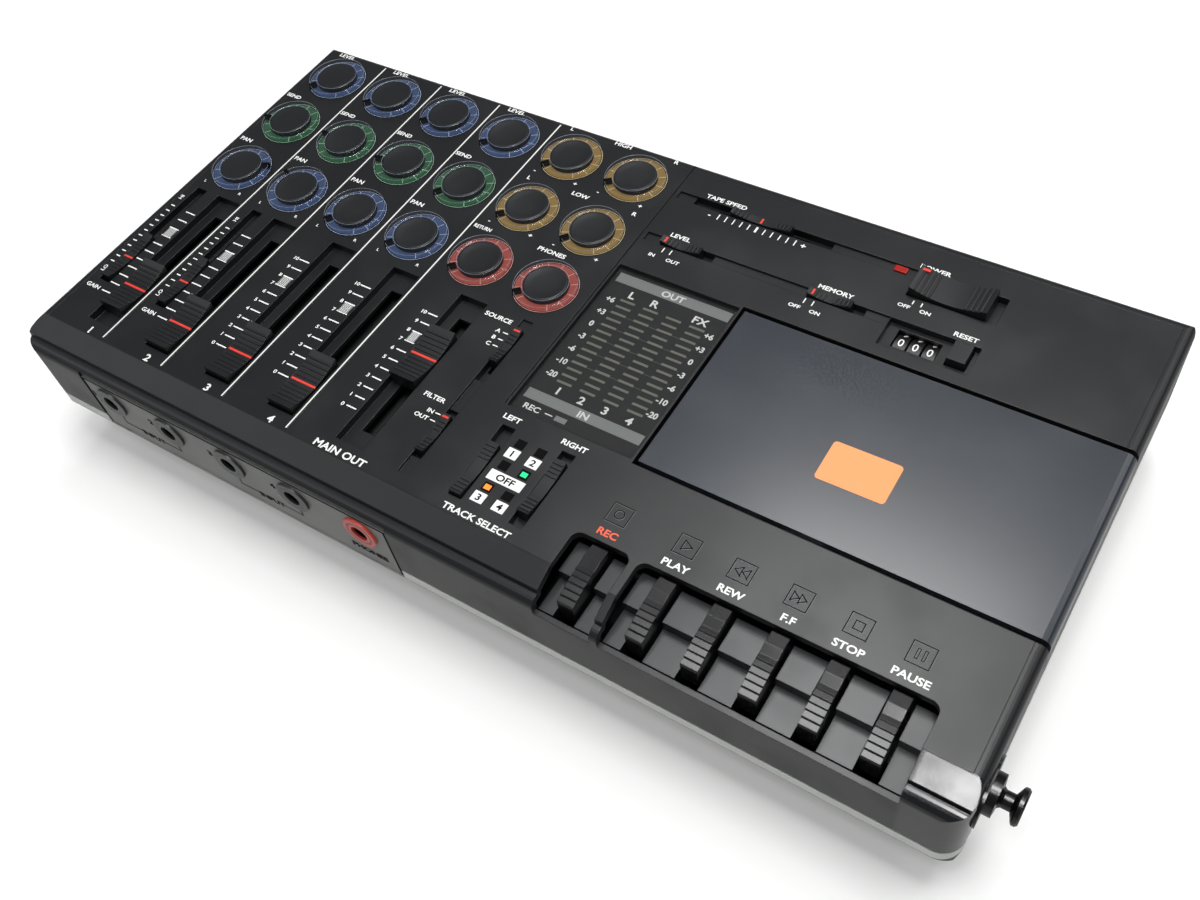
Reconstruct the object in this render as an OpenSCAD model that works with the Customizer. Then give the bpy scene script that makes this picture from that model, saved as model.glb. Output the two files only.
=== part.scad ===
// Four track cassette recorder: mixer section at the left, cassette deck at the right.
// u runs right from the left side, v runs forward from the rear side, z runs up from the table.

/* [Case] */
// Width of the mixer section, up to the seam
mixer_w = 175.8; // [168:0.2:190]
// Width of the deck section
deck_w = 176.2; // [168:0.2:190]
// Depth of the case
body_d = 178.5; // [170:0.5:190]
// Height of the top panel over the table
body_h = 62; // [60:1:75]
// Wall thickness of the covers
wall = 2.5; // [2:0.1:3]
// Drop from the top panel to the parting line
parting_drop = 29; // [27:0.5:31]
// Height of the narrow front strip of the lower cover
strip_drop = 5.5; // [4:0.5:8]
// Corner radius at the front, seen from above
front_corner_r = 7; // [4:0.5:8]
// Corner radius at the rear, seen from above
back_corner_r = 4; // [3.5:0.5:6]
// Radius of the top edges at the sides
side_edge_r = 3; // [2.6:0.1:4]
// Length of the sloped front lip
bevel_run = 8; // [6:0.5:9]
// Drop of the sloped front lip
bevel_drop = 2.8; // [2:0.1:3.5]
// Depth of the apron in front of the lip
apron_run = 4.3; // [4:0.1:5]
// Step under the lip
lip_step = 1.8; // [1:0.1:2.5]
// Height of the rubber feet
foot_h = 4; // [3:0.5:6]
// Diameter of the rubber feet
foot_d = 16; // [12:1:18]
// Length of the slope under the front of the lower cover
undercut_run = 28; // [20:1:32]
// Inset of the slopes under the sides of the lower cover
side_undercut = 10; // [6:1:14]

/* [Knobs] */
// Diameter of the clear skirt
knob_d = 23; // [18:0.5:24]
// Diameter of the black cap
knob_cap_d = 16.8; // [12:0.2:17.4]
// Height of the skirt over the panel
knob_h = 1.9; // [1.5:0.1:4]
// Depth of the dish in the cap
knob_dish = 0.6; // [0.3:0.1:0.9]
// Diameter of the knob's shaft
shaft_d = 6; // [5:0.1:6.5]
// Diameter of the pot's case
pot_d = 15; // [13:0.5:16]
// Height of the pot's case
pot_h = 7; // [5:0.5:9]
// Width of the tone and master columns
master_w = 60.8; // [60:0.2:62]
// Left side to the first channel's knobs
knob_u = 17; // [15:0.5:17.5]
// Rear side to the first row of knobs
knob_v = 17.1; // [16:0.1:17.5]
// Pitch of the rows of knobs
knob_row_pitch = 29.4; // [28.5:0.1:29.5]
// Seam to the first tone knobs
tone_in = 44; // [43.6:0.1:44.4]
// Pitch of the tone knobs
tone_pitch = 27.8; // [27:0.1:28]

/* [Faders] */
// Seam to the master fader
master_in = 35.4; // [35:0.1:36]
// Rear side to the fader's top mark
fader_top_v = 103.6; // [103.2:0.1:105]
// Front side to the fader's bottom mark
fader_in = 30.5; // [30:0.1:34]
// Length of a fader cap
fader_cap_l = 23.2; // [18:0.2:23.6]
// Width of a fader cap
fader_cap_w = 10.3; // [9:0.1:10.6]
// Height of the cap's ends over the panel
fader_cap_h = 2.9; // [2:0.1:4]
// Gap between a fader cap and its recess
fader_gap = 0.5; // [0.3:0.1:0.6]
// Depth of the fader recess
fader_recess_h = 3; // [2.6:0.1:3.4]
// Width of the dark slot in the recess
fader_slot_w = 5.2; // [4:0.1:6]
// Difference of the travels of a fader and a trim slider
trim_short = 15.6; // [14:0.2:24]

/* [Slide switches] */
// Width of the slide switch caps
switch_w = 3.1; // [2.8:0.1:3.3]
// Gap beside the slide switch caps
switch_gap = 0.4; // [0.3:0.05:0.5]
// Height of the cap's ends over the panel
switch_h = 1.8; // [1.2:0.1:3]
// Length of a short slide switch cap
switch_l = 15.5; // [13:0.5:16]
// Step between two switch positions
switch_step = 3; // [2:0.5:3]
// Length of the pitch slider's cap
pitch_l = 23; // [18:0.5:24]
// Travel of the pitch slider to each side
pitch_travel = 14.7; // [10:0.1:15]
// Length of the track selector caps
selector_l = 21; // [18:0.5:21]
// Step of the track selectors
selector_step = 3.8; // [3:0.1:4]
// Length of the power slider
power_l = 26; // [22:0.5:26]
// Width of the power slider
power_w = 11.2; // [9:0.1:11.4]
// Height of the power slider's ends over the panel
power_h = 3.6; // [2.5:0.1:5]

/* [Deck] */
// Rear side to the meter window
meter_v = 55.7; // [55:0.1:56]
// Gap between the meter window and the cassette door
meter_gap = 2.4; // [2.2:0.1:4]
// Thickness of the meter window
meter_t = 1.8; // [1.4:0.1:1.9]
// Width of the cassette door
door_w = 126.8; // [126.4:0.1:127]
// Rear side to the cassette door
door_v = 56.1; // [56:0.1:57]
// Length of the cassette door from rear to front
door_l = 67.4; // [67:0.1:68]
// Thickness of the cassette door
door_t = 2.5; // [2.2:0.1:2.7]
// Depth of the door's side apron
door_apron = 12; // [8:0.5:14]
// Gap around the cassette door
door_gap = 1.6; // [1.5:0.1:1.7]
// Inset of the door's hinge from its rear edge
hinge_inset = 2.4; // [2.3:0.1:2.8]
// Radius of the door's hinge pins
hinge_pin_r = 0.9; // [0.7:0.05:1]
// Width of the cassette
cassette_w = 100.4; // [100:0.1:101]
// Thickness of the cassette
cassette_t = 12; // [11.8:0.1:12.2]
// Distance of the two reel spindles
reel_pitch = 42.5; // [42:0.1:43]
// Left side of the door to the supply spindle
reel_in = 33.4; // [33:0.1:33.8]
// Rear side to the reel spindles
reel_v = 85.3; // [85:0.1:86]
// Diameter of the capstan
capstan_d = 2.5; // [2:0.1:3]
// Diameter of the flywheel
flywheel_d = 46; // [36:1:50]
// Travel of the head bridge
bridge_travel = 7.5; // [6:0.5:8]

/* [Keys] */
// Width of a transport key
key_w = 5.5; // [4.5:0.1:6]
// Pitch of the transport keys
key_pitch = 17.7; // [17:0.1:17.8]
// Right side to the play key
key_in = 98.4; // [98:0.1:98.6]
// Step from the record key to the play key
rec_step = 22.8; // [22.4:0.1:23]
// Front side of the door to the keys' pivot
pivot_in = 14.5; // [14:0.1:16]
// Diameter of the keys' pivot rod
pivot_d = 3; // [2:0.1:4]
// Depth of the upper pads under the panel
pad_drop = 6; // [5:0.5:7]
// Depth of the lower ledge under the panel
ledge_drop = 10; // [9:0.5:11]
// Gap beside a key
key_gap = 0.9; // [0.6:0.1:1.2]

/* [Sockets] */
// Seam to the phones socket
phones_in = 21.8; // [21.5:0.1:22.2]
// Bore of the front sockets
jack_bore = 6.4; // [6.35:0.01:6.6]
// Depth of the front sockets' bore
jack_depth = 28; // [24:1:30]
// Diameter of the front sockets' collar
jack_collar_d = 13; // [12:0.5:14]
// Height of the collar over the jack panel
jack_collar_h = 0.9; // [0.6:0.1:1.5]
// Diameter of the rear sockets' barrel
phono_d = 8.3; // [8:0.1:8.4]
// Length of the rear sockets' barrel outside the case
phono_h = 7; // [6:0.5:9]
// Bore of the power inlet
inlet_bore = 5.6; // [5:0.1:6]
// Strap button: length of the base plate
strap_base_l = 21; // [18:1:23]
// Strap button: width of the base plate
strap_base_w = 14; // [13:0.5:16]
// Strap button: diameter of the neck
strap_neck_d = 5; // [4:0.1:7]
// Strap button: diameter of the head
strap_head_d = 10.6; // [8:0.1:13]
// Strap button: length outside the case
strap_l = 9.8; // [8:0.1:14]

/* [Fits] */
// Radial clearance of a shaft in its bore
run_fit = 0.05; // [0.02:0.01:0.09]
// Clearance between pieces that pass each other
clear = 0.3; // [0.25:0.05:0.4]
// Diameter of the case screws
screw_d = 3; // [2.5:0.1:3.4]

/* [Hidden] */
$fn = 48;
eps = 0.01;
arc_steps = 6;
CHANNELS = [0 : 3];
KNOB_ROWS = ["knob_tape_cue_", "knob_effect_", "knob_pan_"];
TONE_KNOBS = [
    ["knob_eq_high_left", "knob_eq_high_right"],
    ["knob_eq_low_left", "knob_eq_low_right"],
    ["knob_effect_return", "knob_phones"]
];
KEYS = ["key_play", "key_rew", "key_ffwd", "key_stop", "key_pause"];
WHEELS = ["counter_hundreds", "counter_tens", "counter_units"];

// Pointer angles of the knobs at rest, clockwise from the rear
pointer_min = -138;
channel_pointers = [
    [-143, -137, -133, -137],
    [-102, -90, -105, -140],
    [62, -62, -139, -139]
];
tone_pointers = [
    [pointer_min, -127],
    [pointer_min, -139],
    [-135, -133]
];

body_w = mixer_w + deck_w;
deck_u = mixer_w;
door_u = body_w - door_w;
meter_w = door_u - meter_gap - deck_u - 1.1;
reel_u = door_u + reel_in;
key_u = body_w - key_in;

// Columns of the mixer
channel_pitch = (mixer_w - master_w) / 4;
fader_u = knob_u + 7.4 * channel_pitch / 28.75;
trim_u = knob_u - 6.6 * channel_pitch / 28.75;
tone_u = mixer_w - tone_in;
master_u = mixer_w - master_in;
jack_pitch = channel_pitch - 0.15;
jack_u = fader_u + channel_pitch / 2 + 0.825;
jack_us = concat([for (i = CHANNELS) jack_u + i * jack_pitch], [mixer_w - phones_in]);

// Places of the faders at rest: four from the bottom mark, the master from the top mark
fader_travel = body_d - fader_in - fader_top_v;
fader_rest = [6, 0.2, 0.2, 0.2];
master_rest = 16.8;
trim_travel = fader_travel - trim_short;
trim_rest = trim_travel - 0.8;

top_z = body_h;
parting_z = top_z - parting_drop;
strip_z = parting_z - strip_drop;
under_z = top_z - wall;
front_v = body_d;
lip_v = front_v - apron_run;
crease_v = lip_v - bevel_run;
apron_r = apron_run - 1;
apron_top_z = top_z - bevel_drop - lip_step;

// Levels inside
board_t = 1.6;
board_z = top_z - 24;
board_top_z = board_z + board_t;
chassis_t = 2;
chassis_z = board_z;
chassis_top_z = chassis_z + chassis_t;
well_floor_t = 1.5;
door_under_z = top_z - door_t;
cassette_top_z = door_under_z - 1;
well_top_z = cassette_top_z - cassette_t;
well_z = well_top_z - well_floor_t;
spindle_tip_z = cassette_top_z - 4.5;

knob_z = top_z + clear;
pot_bush_d = shaft_d + 3;
pot_top_z = board_top_z + pot_h;
shaft_z = board_top_z + 4;

fader_bottom_v = fader_top_v + fader_travel;
fader_recess_v0 = fader_top_v - fader_cap_l / 2 - fader_gap;
fader_recess_v1 = fader_bottom_v + fader_cap_l / 2 + fader_gap;
recess_z = top_z - fader_recess_h;
recess_floor_t = 1.5;
slider_z = recess_z + clear;
fader_slot_shift = 0.8;
stem_l = 5;
stem_w = 1.4;
fader_body_z = top_z - 9;
fader_body_w = 9;
switch_body_z = top_z - 10;

trim_cap_w = switch_w + 0.9;
slot_w = switch_w + 2 * switch_gap;
groove_h = 0.9;
tub_t = 1.2;

// Columns of slide switches, at the channel's middle line
monitor_u = mixer_w - 13;
monitor_v = fader_top_v + 0.8;
monitor_groove = [fader_recess_v0, fader_recess_v1 + 1];
nr_v = fader_bottom_v - 3.4;
pitch_u = deck_u + 35;
pitch_v = knob_v + 0.1;
lower_v = pitch_v + 22.5;
meter_slider_u = deck_u + 16;
zero_slider_u = deck_u + 71.7;
groove_u0 = deck_u + 1.7;
groove_u1 = deck_u + 92;
selector_room = key_u - rec_step - 9.1 - deck_u;
selector_u = [deck_u + 0.146 * selector_room, deck_u + 0.636 * selector_room];
selector_v = crease_v - 20.5;
selector_w = 4.2;
meter_l = selector_v - 22 - meter_v;

power_u0 = groove_u1 + 0.2;
power_gap = 0.5;
power_recess_l = power_l + switch_step + 2 * power_gap;
power_mid_u = power_u0 + power_gap + power_l / 2;
power_v = pitch_v + 3.8;

counter_u0 = power_u0;
counter_w = power_recess_l;
counter_v0 = lower_v - slot_w / 2;
counter_l = 12;
counter_recess_h = 2.5;
wheel_d = 15;
wheel_w = 4.1;
wheel_pitch = 4.85;
wheel_axle_d = 2;
wheels_u = counter_u0 + 11;
wheels_v = counter_v0 + 5.8;
wheel_z = top_z - counter_recess_h - 0.7 - wheel_d / 2;
reset_u = wheels_u + 13.8;
reset_v = counter_v0 + 4.6;
reset_w = 6;
reset_l = 8;
reset_travel = 2.4;

door_right_u = body_w;
door_axis_v = door_v + hinge_inset;
door_axis_z = door_under_z - 0.3;
lug_r = 1.8;
lug_w = 2;
cassette_u0 = reel_u + reel_pitch / 2 - cassette_w / 2;
cassette_u1 = cassette_u0 + cassette_w;
cassette_gap = 0.5;
lug_left_u = cassette_u0 - cassette_gap - 0.2 - lug_w;
lug_right_u = cassette_u1 + cassette_gap + 0.2;
arm_w = lug_left_u - clear - door_u - 0.1;
cassette_depth = 63.8;
cassette_rear = 28.2;
well_v0 = reel_v - cassette_rear - cassette_gap;
well_v1 = reel_v - cassette_rear + cassette_depth + cassette_gap;
well_wall = 1.5;

capstan_u = reel_u + reel_pitch / 2 + 24.5;
capstan_v = well_v1 - 8.9;
roller_r = 6.5;
roller_v = capstan_v + capstan_d / 2 + roller_r + bridge_travel + clear;
roller_pin_d = 2;
bridge_z = chassis_top_z + 3;
bridge_t = 1.5;
bridge_l = 14;
bridge_v0 = well_v1 + 1.8;
bridge_v1 = bridge_v0 + bridge_l;
head_v0 = bridge_v0 - 0.4;
roller_z = well_top_z + 0.6;
bridge_u0 = capstan_u - 52;
bridge_u1 = capstan_u + 12;
guide_d = 3;
guide_v = bridge_v0 + bridge_l / 2 - bridge_travel / 2;
guide_us = [reel_u + 11, bridge_u1 - 22];

pivot_v = door_v + door_l + pivot_in;
bay_v = pivot_v + (front_v - pivot_v) * 10 / 27;
chassis_u0 = door_u + 3;
chassis_u1 = body_w - 13;
chassis_v0 = door_v + 1;
chassis_v1 = bay_v + 0.51 * (front_v - bay_v);
motor_d = 34;
motor_h = 26;
motor_u = reel_u - 6;
motor_v = front_v - undercut_run - motor_d / 2 - 11;
flywheel_h = 6;
flywheel_z = chassis_z - 14;
bearing_d = 7;

bay_front_v = front_v - 1.9;
bay_u = [key_u - rec_step - 9.1, key_u - rec_step + 10.4];
bays_u = [key_u - 9.8, key_u + 4 * key_pitch + 10.2];
bay_r = 3;
key_top_z = top_z - 1.2;
key_front_v = front_v - 4.5;
key_low_z = top_z - 13;
pivot_z = top_z - 11.5;
pivot_r = 3.2;
key_us = [for (i = [0 : 4]) key_u + i * key_pitch];
rec_u = key_u - rec_step;
comb_u0 = bay_u[0] - 2;
comb_u1 = bays_u[1] + 2.5;
comb_v0 = pivot_v - 5;
comb_foot_z = chassis_top_z;
rail_h = 2.6;

jack_z = board_top_z + 5.9;
jack_w = 11;
panel_u0 = jack_us[0] - 11.1;
panel_u1 = jack_us[4] + 12.5;
panel_z0 = strip_z + 0.5;
panel_z1 = top_z - 8.2;
panel_gap = 0.2;
panel_t = 2.5;
panel_inset = 0.3;
shadow_h = 2;
phono_count = 6;
phono_u = deck_u + 24;
phono_pitch = 14;
inlet_u = phono_u + phono_count * phono_pitch + 14;
inlet_d = 8.6;
rear_z = board_top_z + 5.5;
rear_u0 = phono_u - 12;
rear_u1 = inlet_u + 12;
rear_z0 = parting_z + 0.2;
rear_z1 = rear_z + 10;
rear_v0 = 0.3;
phono_flange = 1.4;
phono_neck_d = phono_d - 0.7;
strap_v = front_v - 16;
strap_z = top_z - parting_drop / 2;

rim_w = side_edge_r + 1;
column_d = 9;
boss_z = under_z - 7;
head_d = screw_d + 3;
screw_places = [
    [knob_u + channel_pitch / 2, knob_v + knob_row_pitch / 2],
    [(knob_u + 3 * channel_pitch + tone_u) / 2, knob_v + knob_row_pitch / 2],
    [deck_u - 3.9, knob_v + knob_row_pitch / 2],
    [power_u0 + 15, knob_v + 13.6],
    [body_w - 7.5, knob_v + 13],
    [trim_u + 1, front_v - 12.5],
    [(monitor_u + selector_u[0]) / 2, front_v - 28],
    [body_w - 7.3, front_v - 28]
];
post_d = 7;
board_posts = [
    [knob_u + channel_pitch / 2, knob_v + 2.5 * knob_row_pitch],
    [knob_u + 3.5 * channel_pitch, knob_v + 2.5 * knob_row_pitch],
    [deck_u - 4, knob_v + 2.5 * knob_row_pitch],
    [knob_u + 1.5 * channel_pitch, front_v - 14],
    [knob_u + 3.5 * channel_pitch, front_v - 14],
    [selector_u[1] + 0.8, front_v - 14],
    [deck_u + 60, knob_v],
    [body_w - 16, knob_v]
];
chassis_posts = [
    [chassis_u0 + 5, chassis_v0 + 5],
    [chassis_u1 - 5, chassis_v0 + 5],
    [chassis_u0 + 5, chassis_v1 - 6],
    [chassis_u1 - 5, chassis_v1 - 6]
];
feet_places = [
    [side_undercut + foot_d, back_corner_r + foot_d + 6],
    [body_w - side_undercut - foot_d, back_corner_r + foot_d + 6],
    [side_undercut + foot_d, front_v - undercut_run - foot_d],
    [body_w - side_undercut - foot_d, front_v - undercut_run - foot_d],
    [body_w / 2, body_d / 2]
];

// Moves to a place given by u, v and z
module put(u, v, z = 0) translate([u - body_w / 2, body_d / 2 - v, z]) children();

// A block between two values of u, v and z
module slab(u, v, z)
    translate([u[0] - body_w / 2, body_d / 2 - v[1], z[0]])
        cube([u[1] - u[0], v[1] - v[0], z[1] - z[0]]);

// An upright rod at u and v
module rod(u, v, z, d) put(u, v, z[0]) cylinder(d = d, h = z[1] - z[0]);

// A rod along u
module rod_u(u, v, z, d) put(u[0], v, z) rotate([0, 90, 0]) cylinder(d = d, h = u[1] - u[0]);

// A rod along v
module rod_v(u, v, z, d) put(u, v[0], z) rotate([90, 0, 0]) cylinder(d = d, h = v[1] - v[0]);

// An outline of v and z points, drawn out along u
module side_form(points, u)
    translate([u[0] - body_w / 2, 0, 0])
        rotate([90, 0, 90])
            linear_extrude(u[1] - u[0])
                polygon([for (p = points) [body_d / 2 - p[0], p[1]]]);

// An outline of u and z points, drawn out along v
module front_form(points, v)
    translate([0, body_d / 2 - v[0], 0])
        rotate([90, 0, 0])
            linear_extrude(v[1] - v[0])
                polygon([for (p = points) [p[0] - body_w / 2, p[1]]]);

// Points of an arc about a centre, between two angles
function arc(centre, r, from, to) =
    [for (i = [0 : arc_steps]) let (a = from + (to - from) * i / arc_steps)
        [centre[0] + r * cos(a), centre[1] + r * sin(a)]];

// The case seen from above, moved in by t
module plan(t) {
    rf = front_corner_r - t;
    rb = back_corner_r - t;
    w = body_w - 2 * t;
    d = body_d - 2 * t;
    translate([-w / 2, -d / 2 + rf]) square([w, d - rf - rb]);
    translate([-w / 2 + rf, -d / 2]) square([w - 2 * rf, rf + eps]);
    translate([-w / 2 + rb, d / 2 - rb - eps]) square([w - 2 * rb, rb + eps]);
    for (s = [-1, 1]) {
        translate([s * (w / 2 - rf), -d / 2 + rf]) circle(r = rf);
        translate([s * (w / 2 - rb), d / 2 - rb]) circle(r = rb);
    }
}

// The upper case's side outline, moved in by t
function cover_side(t, low_z) = concat(
    [[t, low_z]],
    arc([side_edge_r, top_z - side_edge_r], side_edge_r - t, 180, 90),
    [[crease_v - t / 5, top_z - t]],
    [[lip_v - t / 2, top_z - bevel_drop - t]],
    [[lip_v + 0.3 - t / 2, apron_top_z - t]],
    arc([front_v - apron_r, apron_top_z - apron_r], apron_r - t, 90, 0),
    [[front_v - t, low_z]]
);

// The upper case's front outline, moved in by t
function cover_front(t, low_z) = concat(
    [[t, low_z]],
    arc([side_edge_r, top_z - side_edge_r], side_edge_r - t, 180, 90),
    arc([body_w - side_edge_r, top_z - side_edge_r], side_edge_r - t, 90, 0),
    [[body_w - t, low_z]]
);

// The upper case as a solid, moved in by t
module cover_form(t, low_z) {
    intersection() {
        translate([0, 0, low_z]) linear_extrude(top_z - low_z) plan(t);
        side_form(cover_side(t, low_z), [0, body_w]);
        front_form(cover_front(t, low_z), [0, body_d]);
    }
}

// Places of the knobs
knob_places = concat(
    [for (i = CHANNELS, row = [0 : 2]) [knob_u + i * channel_pitch, knob_v + row * knob_row_pitch]],
    [for (i = [0, 1], row = [0 : 2]) [tone_u + i * tone_pitch, knob_v + row * knob_row_pitch]]
);

// Middle lines of the faders and trim sliders
fader_us = concat([for (i = CHANNELS) fader_u + i * channel_pitch], [master_u]);
trim_us = [trim_u, trim_u + channel_pitch];

// Sliders: u and v at rest, turned along u, travel to the rear or left, travel to the front or right,
// length and width of the cap, gap beside the cap
sliders = concat(
    [for (u = fader_us) [u, fader_top_v, false, 0, fader_travel, fader_cap_l, fader_cap_w, fader_gap]],
    [for (u = trim_us) [u, fader_top_v, false, 0, trim_travel, fader_cap_l, trim_cap_w, fader_gap]],
    [
        [monitor_u, monitor_v, false, 0, 2 * switch_step + 1, switch_l, switch_w, switch_gap],
        [monitor_u, nr_v, false, switch_step, 1, switch_l, switch_w, switch_gap],
        [pitch_u, pitch_v, true, pitch_travel, pitch_travel, pitch_l, switch_w, switch_gap],
        [meter_slider_u, lower_v, true, 0, switch_step + 1, switch_l, switch_w, switch_gap],
        [zero_slider_u, lower_v, true, 0, switch_step + 1, switch_l, switch_w, switch_gap],
        [selector_u[0], selector_v, false, selector_step, selector_step, selector_l, selector_w, switch_gap],
        [selector_u[1], selector_v, false, selector_step, selector_step, selector_l, selector_w, switch_gap],
        [power_mid_u, power_v, true, 0, switch_step, power_l, power_w, power_gap]
    ]
);

// The room a slider of length l and width w sweeps, with a gap around it
module sweep(s, l, w, gap, z)
    put(s[0], s[1]) rotate([0, 0, s[2] ? 90 : 0])
        translate([-w / 2 - gap, -l / 2 - s[4] - gap, z[0]])
            cube([w + 2 * gap, l + s[3] + s[4] + 2 * gap, z[1] - z[0]]);

// Key bay with round rear corners, open over the apron
module key_bay(u) {
    slab([u[0], u[1]], [bay_v + bay_r, bay_front_v], [parting_z, top_z + eps]);
    slab([u[0] + bay_r, u[1] - bay_r], [bay_v, bay_v + bay_r + eps], [parting_z, top_z + eps]);
    rod(u[0] + bay_r, bay_v + bay_r, [parting_z, top_z + eps], 2 * bay_r);
    rod(u[1] - bay_r, bay_v + bay_r, [parting_z, top_z + eps], 2 * bay_r);
    slab([u[0], u[1]], [bay_front_v - eps, front_v + eps], [top_z - ledge_drop, top_z]);
}

module cover_cuts() {
    for (p = knob_places) rod(p[0], p[1], [under_z - eps, top_z + eps], shaft_d + 1);
    for (s = sliders) {
        sweep(s, s[5], s[6], s[7], [recess_z, top_z + eps]);
        sweep(s, stem_l, stem_w, 2 * clear, [recess_z - 2 * recess_floor_t, top_z]);
    }
    for (u = fader_us)
        slab([u + fader_slot_shift - fader_slot_w / 2, u + fader_slot_shift + fader_slot_w / 2],
            [fader_top_v - stem_l / 2 - 2, fader_bottom_v + stem_l / 2 + 2],
            [recess_z - 2 * recess_floor_t, top_z]);
    slab([monitor_u - slot_w / 2, monitor_u + slot_w / 2], monitor_groove, [top_z - groove_h, top_z + eps]);
    for (v = [pitch_v, lower_v])
        slab([groove_u0, groove_u1], [v - slot_w / 2, v + slot_w / 2], [top_z - groove_h, top_z + eps]);
    counter_cuts();
    meter_cuts();
    door_cuts();
    key_bay(bay_u);
    key_bay(bays_u);
    jack_panel_cut();
    slab([rear_u0 - panel_gap, rear_u1 + panel_gap], [-eps, rear_v0 + panel_t + panel_gap],
        [parting_z - eps, rear_z1 + panel_gap]);
    rod_u([body_w - wall - eps, body_w + eps], strap_v, strap_z, strap_neck_d + 2 * run_fit);
    slab([deck_u - 0.3, deck_u + 0.3], [2, meter_v + meter_l], [top_z - 0.6, top_z + eps]);
}

module counter_cuts() {
    slab([counter_u0, counter_u0 + counter_w], [counter_v0, counter_v0 + counter_l],
        [top_z - counter_recess_h, top_z + eps]);
    slab([wheels_u - 1.5 * wheel_pitch, wheels_u + 1.5 * wheel_pitch], [wheels_v - 4.2, wheels_v + 3.4],
        [recess_z - recess_floor_t, top_z]);
    slab([reset_u - reset_w / 2 - switch_gap, reset_u + reset_w / 2 + switch_gap],
        [reset_v - reset_l / 2 - switch_gap, reset_v + reset_l / 2 + switch_gap],
        [recess_z - recess_floor_t, top_z]);
}

module meter_cuts() {
    slab([deck_u + 1.1 - panel_gap, deck_u + 1.1 + meter_w + panel_gap],
        [meter_v - panel_gap, meter_v + meter_l + panel_gap], [top_z - meter_t, top_z + eps]);
    slab([deck_u + 2.7, deck_u + 1.1 + meter_w - 1.6], [meter_v + 1.8, meter_v + meter_l - 1.8],
        [under_z - eps, top_z]);
}

module door_cuts() {
    slab([door_u - door_gap + 0.2, body_w - wall - eps], [door_v - door_gap, door_v + door_l + door_gap],
        [under_z - eps, top_z + eps]);
    slab([body_w - wall - side_edge_r - eps, body_w + eps], [door_v - door_gap, door_v + door_l + door_gap],
        [top_z - door_apron - 0.8, top_z + eps]);
}

module jack_panel_cut()
    slab([panel_u0 - panel_gap, panel_u1 + panel_gap],
        [front_v - panel_inset - panel_t - panel_gap, front_v + eps],
        [panel_z0 - panel_gap, panel_z1 + shadow_h + panel_gap]);

// The upper case with its recesses, screw bosses and channel ribs
module upper_case() {
    difference() {
        union() {
            difference() {
                cover_form(0, parting_z);
                cover_form(wall, parting_z - eps);
            }
            for (s = sliders)
                sweep(s, s[5], s[6], s[7] + tub_t, [recess_z - recess_floor_t, under_z + eps]);
            slab([counter_u0 - tub_t, counter_u0 + counter_w + tub_t],
                [counter_v0 - tub_t, counter_v0 + counter_l + tub_t],
                [top_z - counter_recess_h - 1.2, under_z + eps]);
            for (p = screw_places) rod(p[0], p[1], [boss_z, under_z + eps], column_d);
        }
        cover_cuts();
        for (p = screw_places) rod(p[0], p[1], [boss_z - eps, under_z - 1], screw_d + 2 * run_fit);
    }
    for (i = CHANNELS) {
        u = knob_u + i * channel_pitch + channel_pitch / 2;
        slab([u - 0.45, u + 0.45], [side_edge_r, crease_v - 1.3], [top_z - eps, top_z + 0.25]);
    }
}

// The room of the top panel inside the rim
module panel_room()
    slab([rim_w, body_w - rim_w], [rim_w, crease_v], [parting_z - 1, top_z + 1]);

module top_cover() color("#2d2e30") intersection() {
    upper_case();
    panel_room();
}

module case_rim() color("#2d2e30") difference() {
    upper_case();
    panel_room();
}

// Height of the lower case's underside at u and v
function floor_z(u, v) = foot_h + (strip_z - foot_h) * max(
    0,
    (v - front_v + undercut_run) / undercut_run,
    (side_undercut - u) / side_undercut,
    (u - body_w + side_undercut) / side_undercut
);

// Height of a screw head's seat, clear of the slopes around it
function seat_z(p) = floor_z(p[0] + (p[0] < body_w / 2 ? -1 : 1) * head_d / 2, p[1] + head_d / 2) + 4;

// The lower case's outlines, moved in by t
function tray_side(t) = [
    [t, parting_z + t], [t, foot_h + 4], [4 + t / 2, foot_h + t],
    [front_v - undercut_run - t / 2, foot_h + t], [front_v - t, strip_z + t / 2],
    [front_v - t, parting_z + t]
];
function tray_front(t) = [
    [t, parting_z + t], [t, strip_z + t / 2], [side_undercut + t / 2, foot_h + t],
    [body_w - side_undercut - t / 2, foot_h + t], [body_w - t, strip_z + t / 2], [body_w - t, parting_z + t]
];

module tray_form(t) {
    intersection() {
        translate([0, 0, foot_h]) linear_extrude(parting_drop + body_h) plan(t);
        side_form(tray_side(t), [0, body_w]);
        front_form(tray_front(t), [0, body_d]);
    }
}

module bottom_cover() color("#3a3b3c") difference() {
    union() {
        difference() {
            tray_form(0);
            tray_form(wall);
        }
        intersection() {
            tray_form(0);
            union() {
                for (p = screw_places) rod(p[0], p[1], [foot_h + 1, parting_z], column_d);
                for (p = board_posts) rod(p[0], p[1], [foot_h + 1, parting_z], post_d);
                for (p = chassis_posts) rod(p[0], p[1], [foot_h + 1, parting_z], post_d);
            }
        }
        for (p = board_posts) rod(p[0], p[1], [parting_z - 2, board_z], post_d);
        for (p = chassis_posts) rod(p[0], p[1], [parting_z - 2, chassis_z], post_d);
    }
    for (p = screw_places) {
        rod(p[0], p[1], [0, parting_z + 1], screw_d + 2 * clear);
        rod(p[0], p[1], [0, seat_z(p)], head_d + 2 * clear);
    }
    jack_panel_cut();
    difference() {
        translate([0, 0, parting_z - 0.7]) linear_extrude(1) plan(-1);
        translate([0, 0, parting_z - 1]) linear_extrude(2) plan(1);
    }
}

// The strip with the front sockets, and the plate with the rear sockets
module connector_panels() {
    color("#8c8f8c") jack_panel();
    color("#3a3b3c") rear_panel();
}

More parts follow.
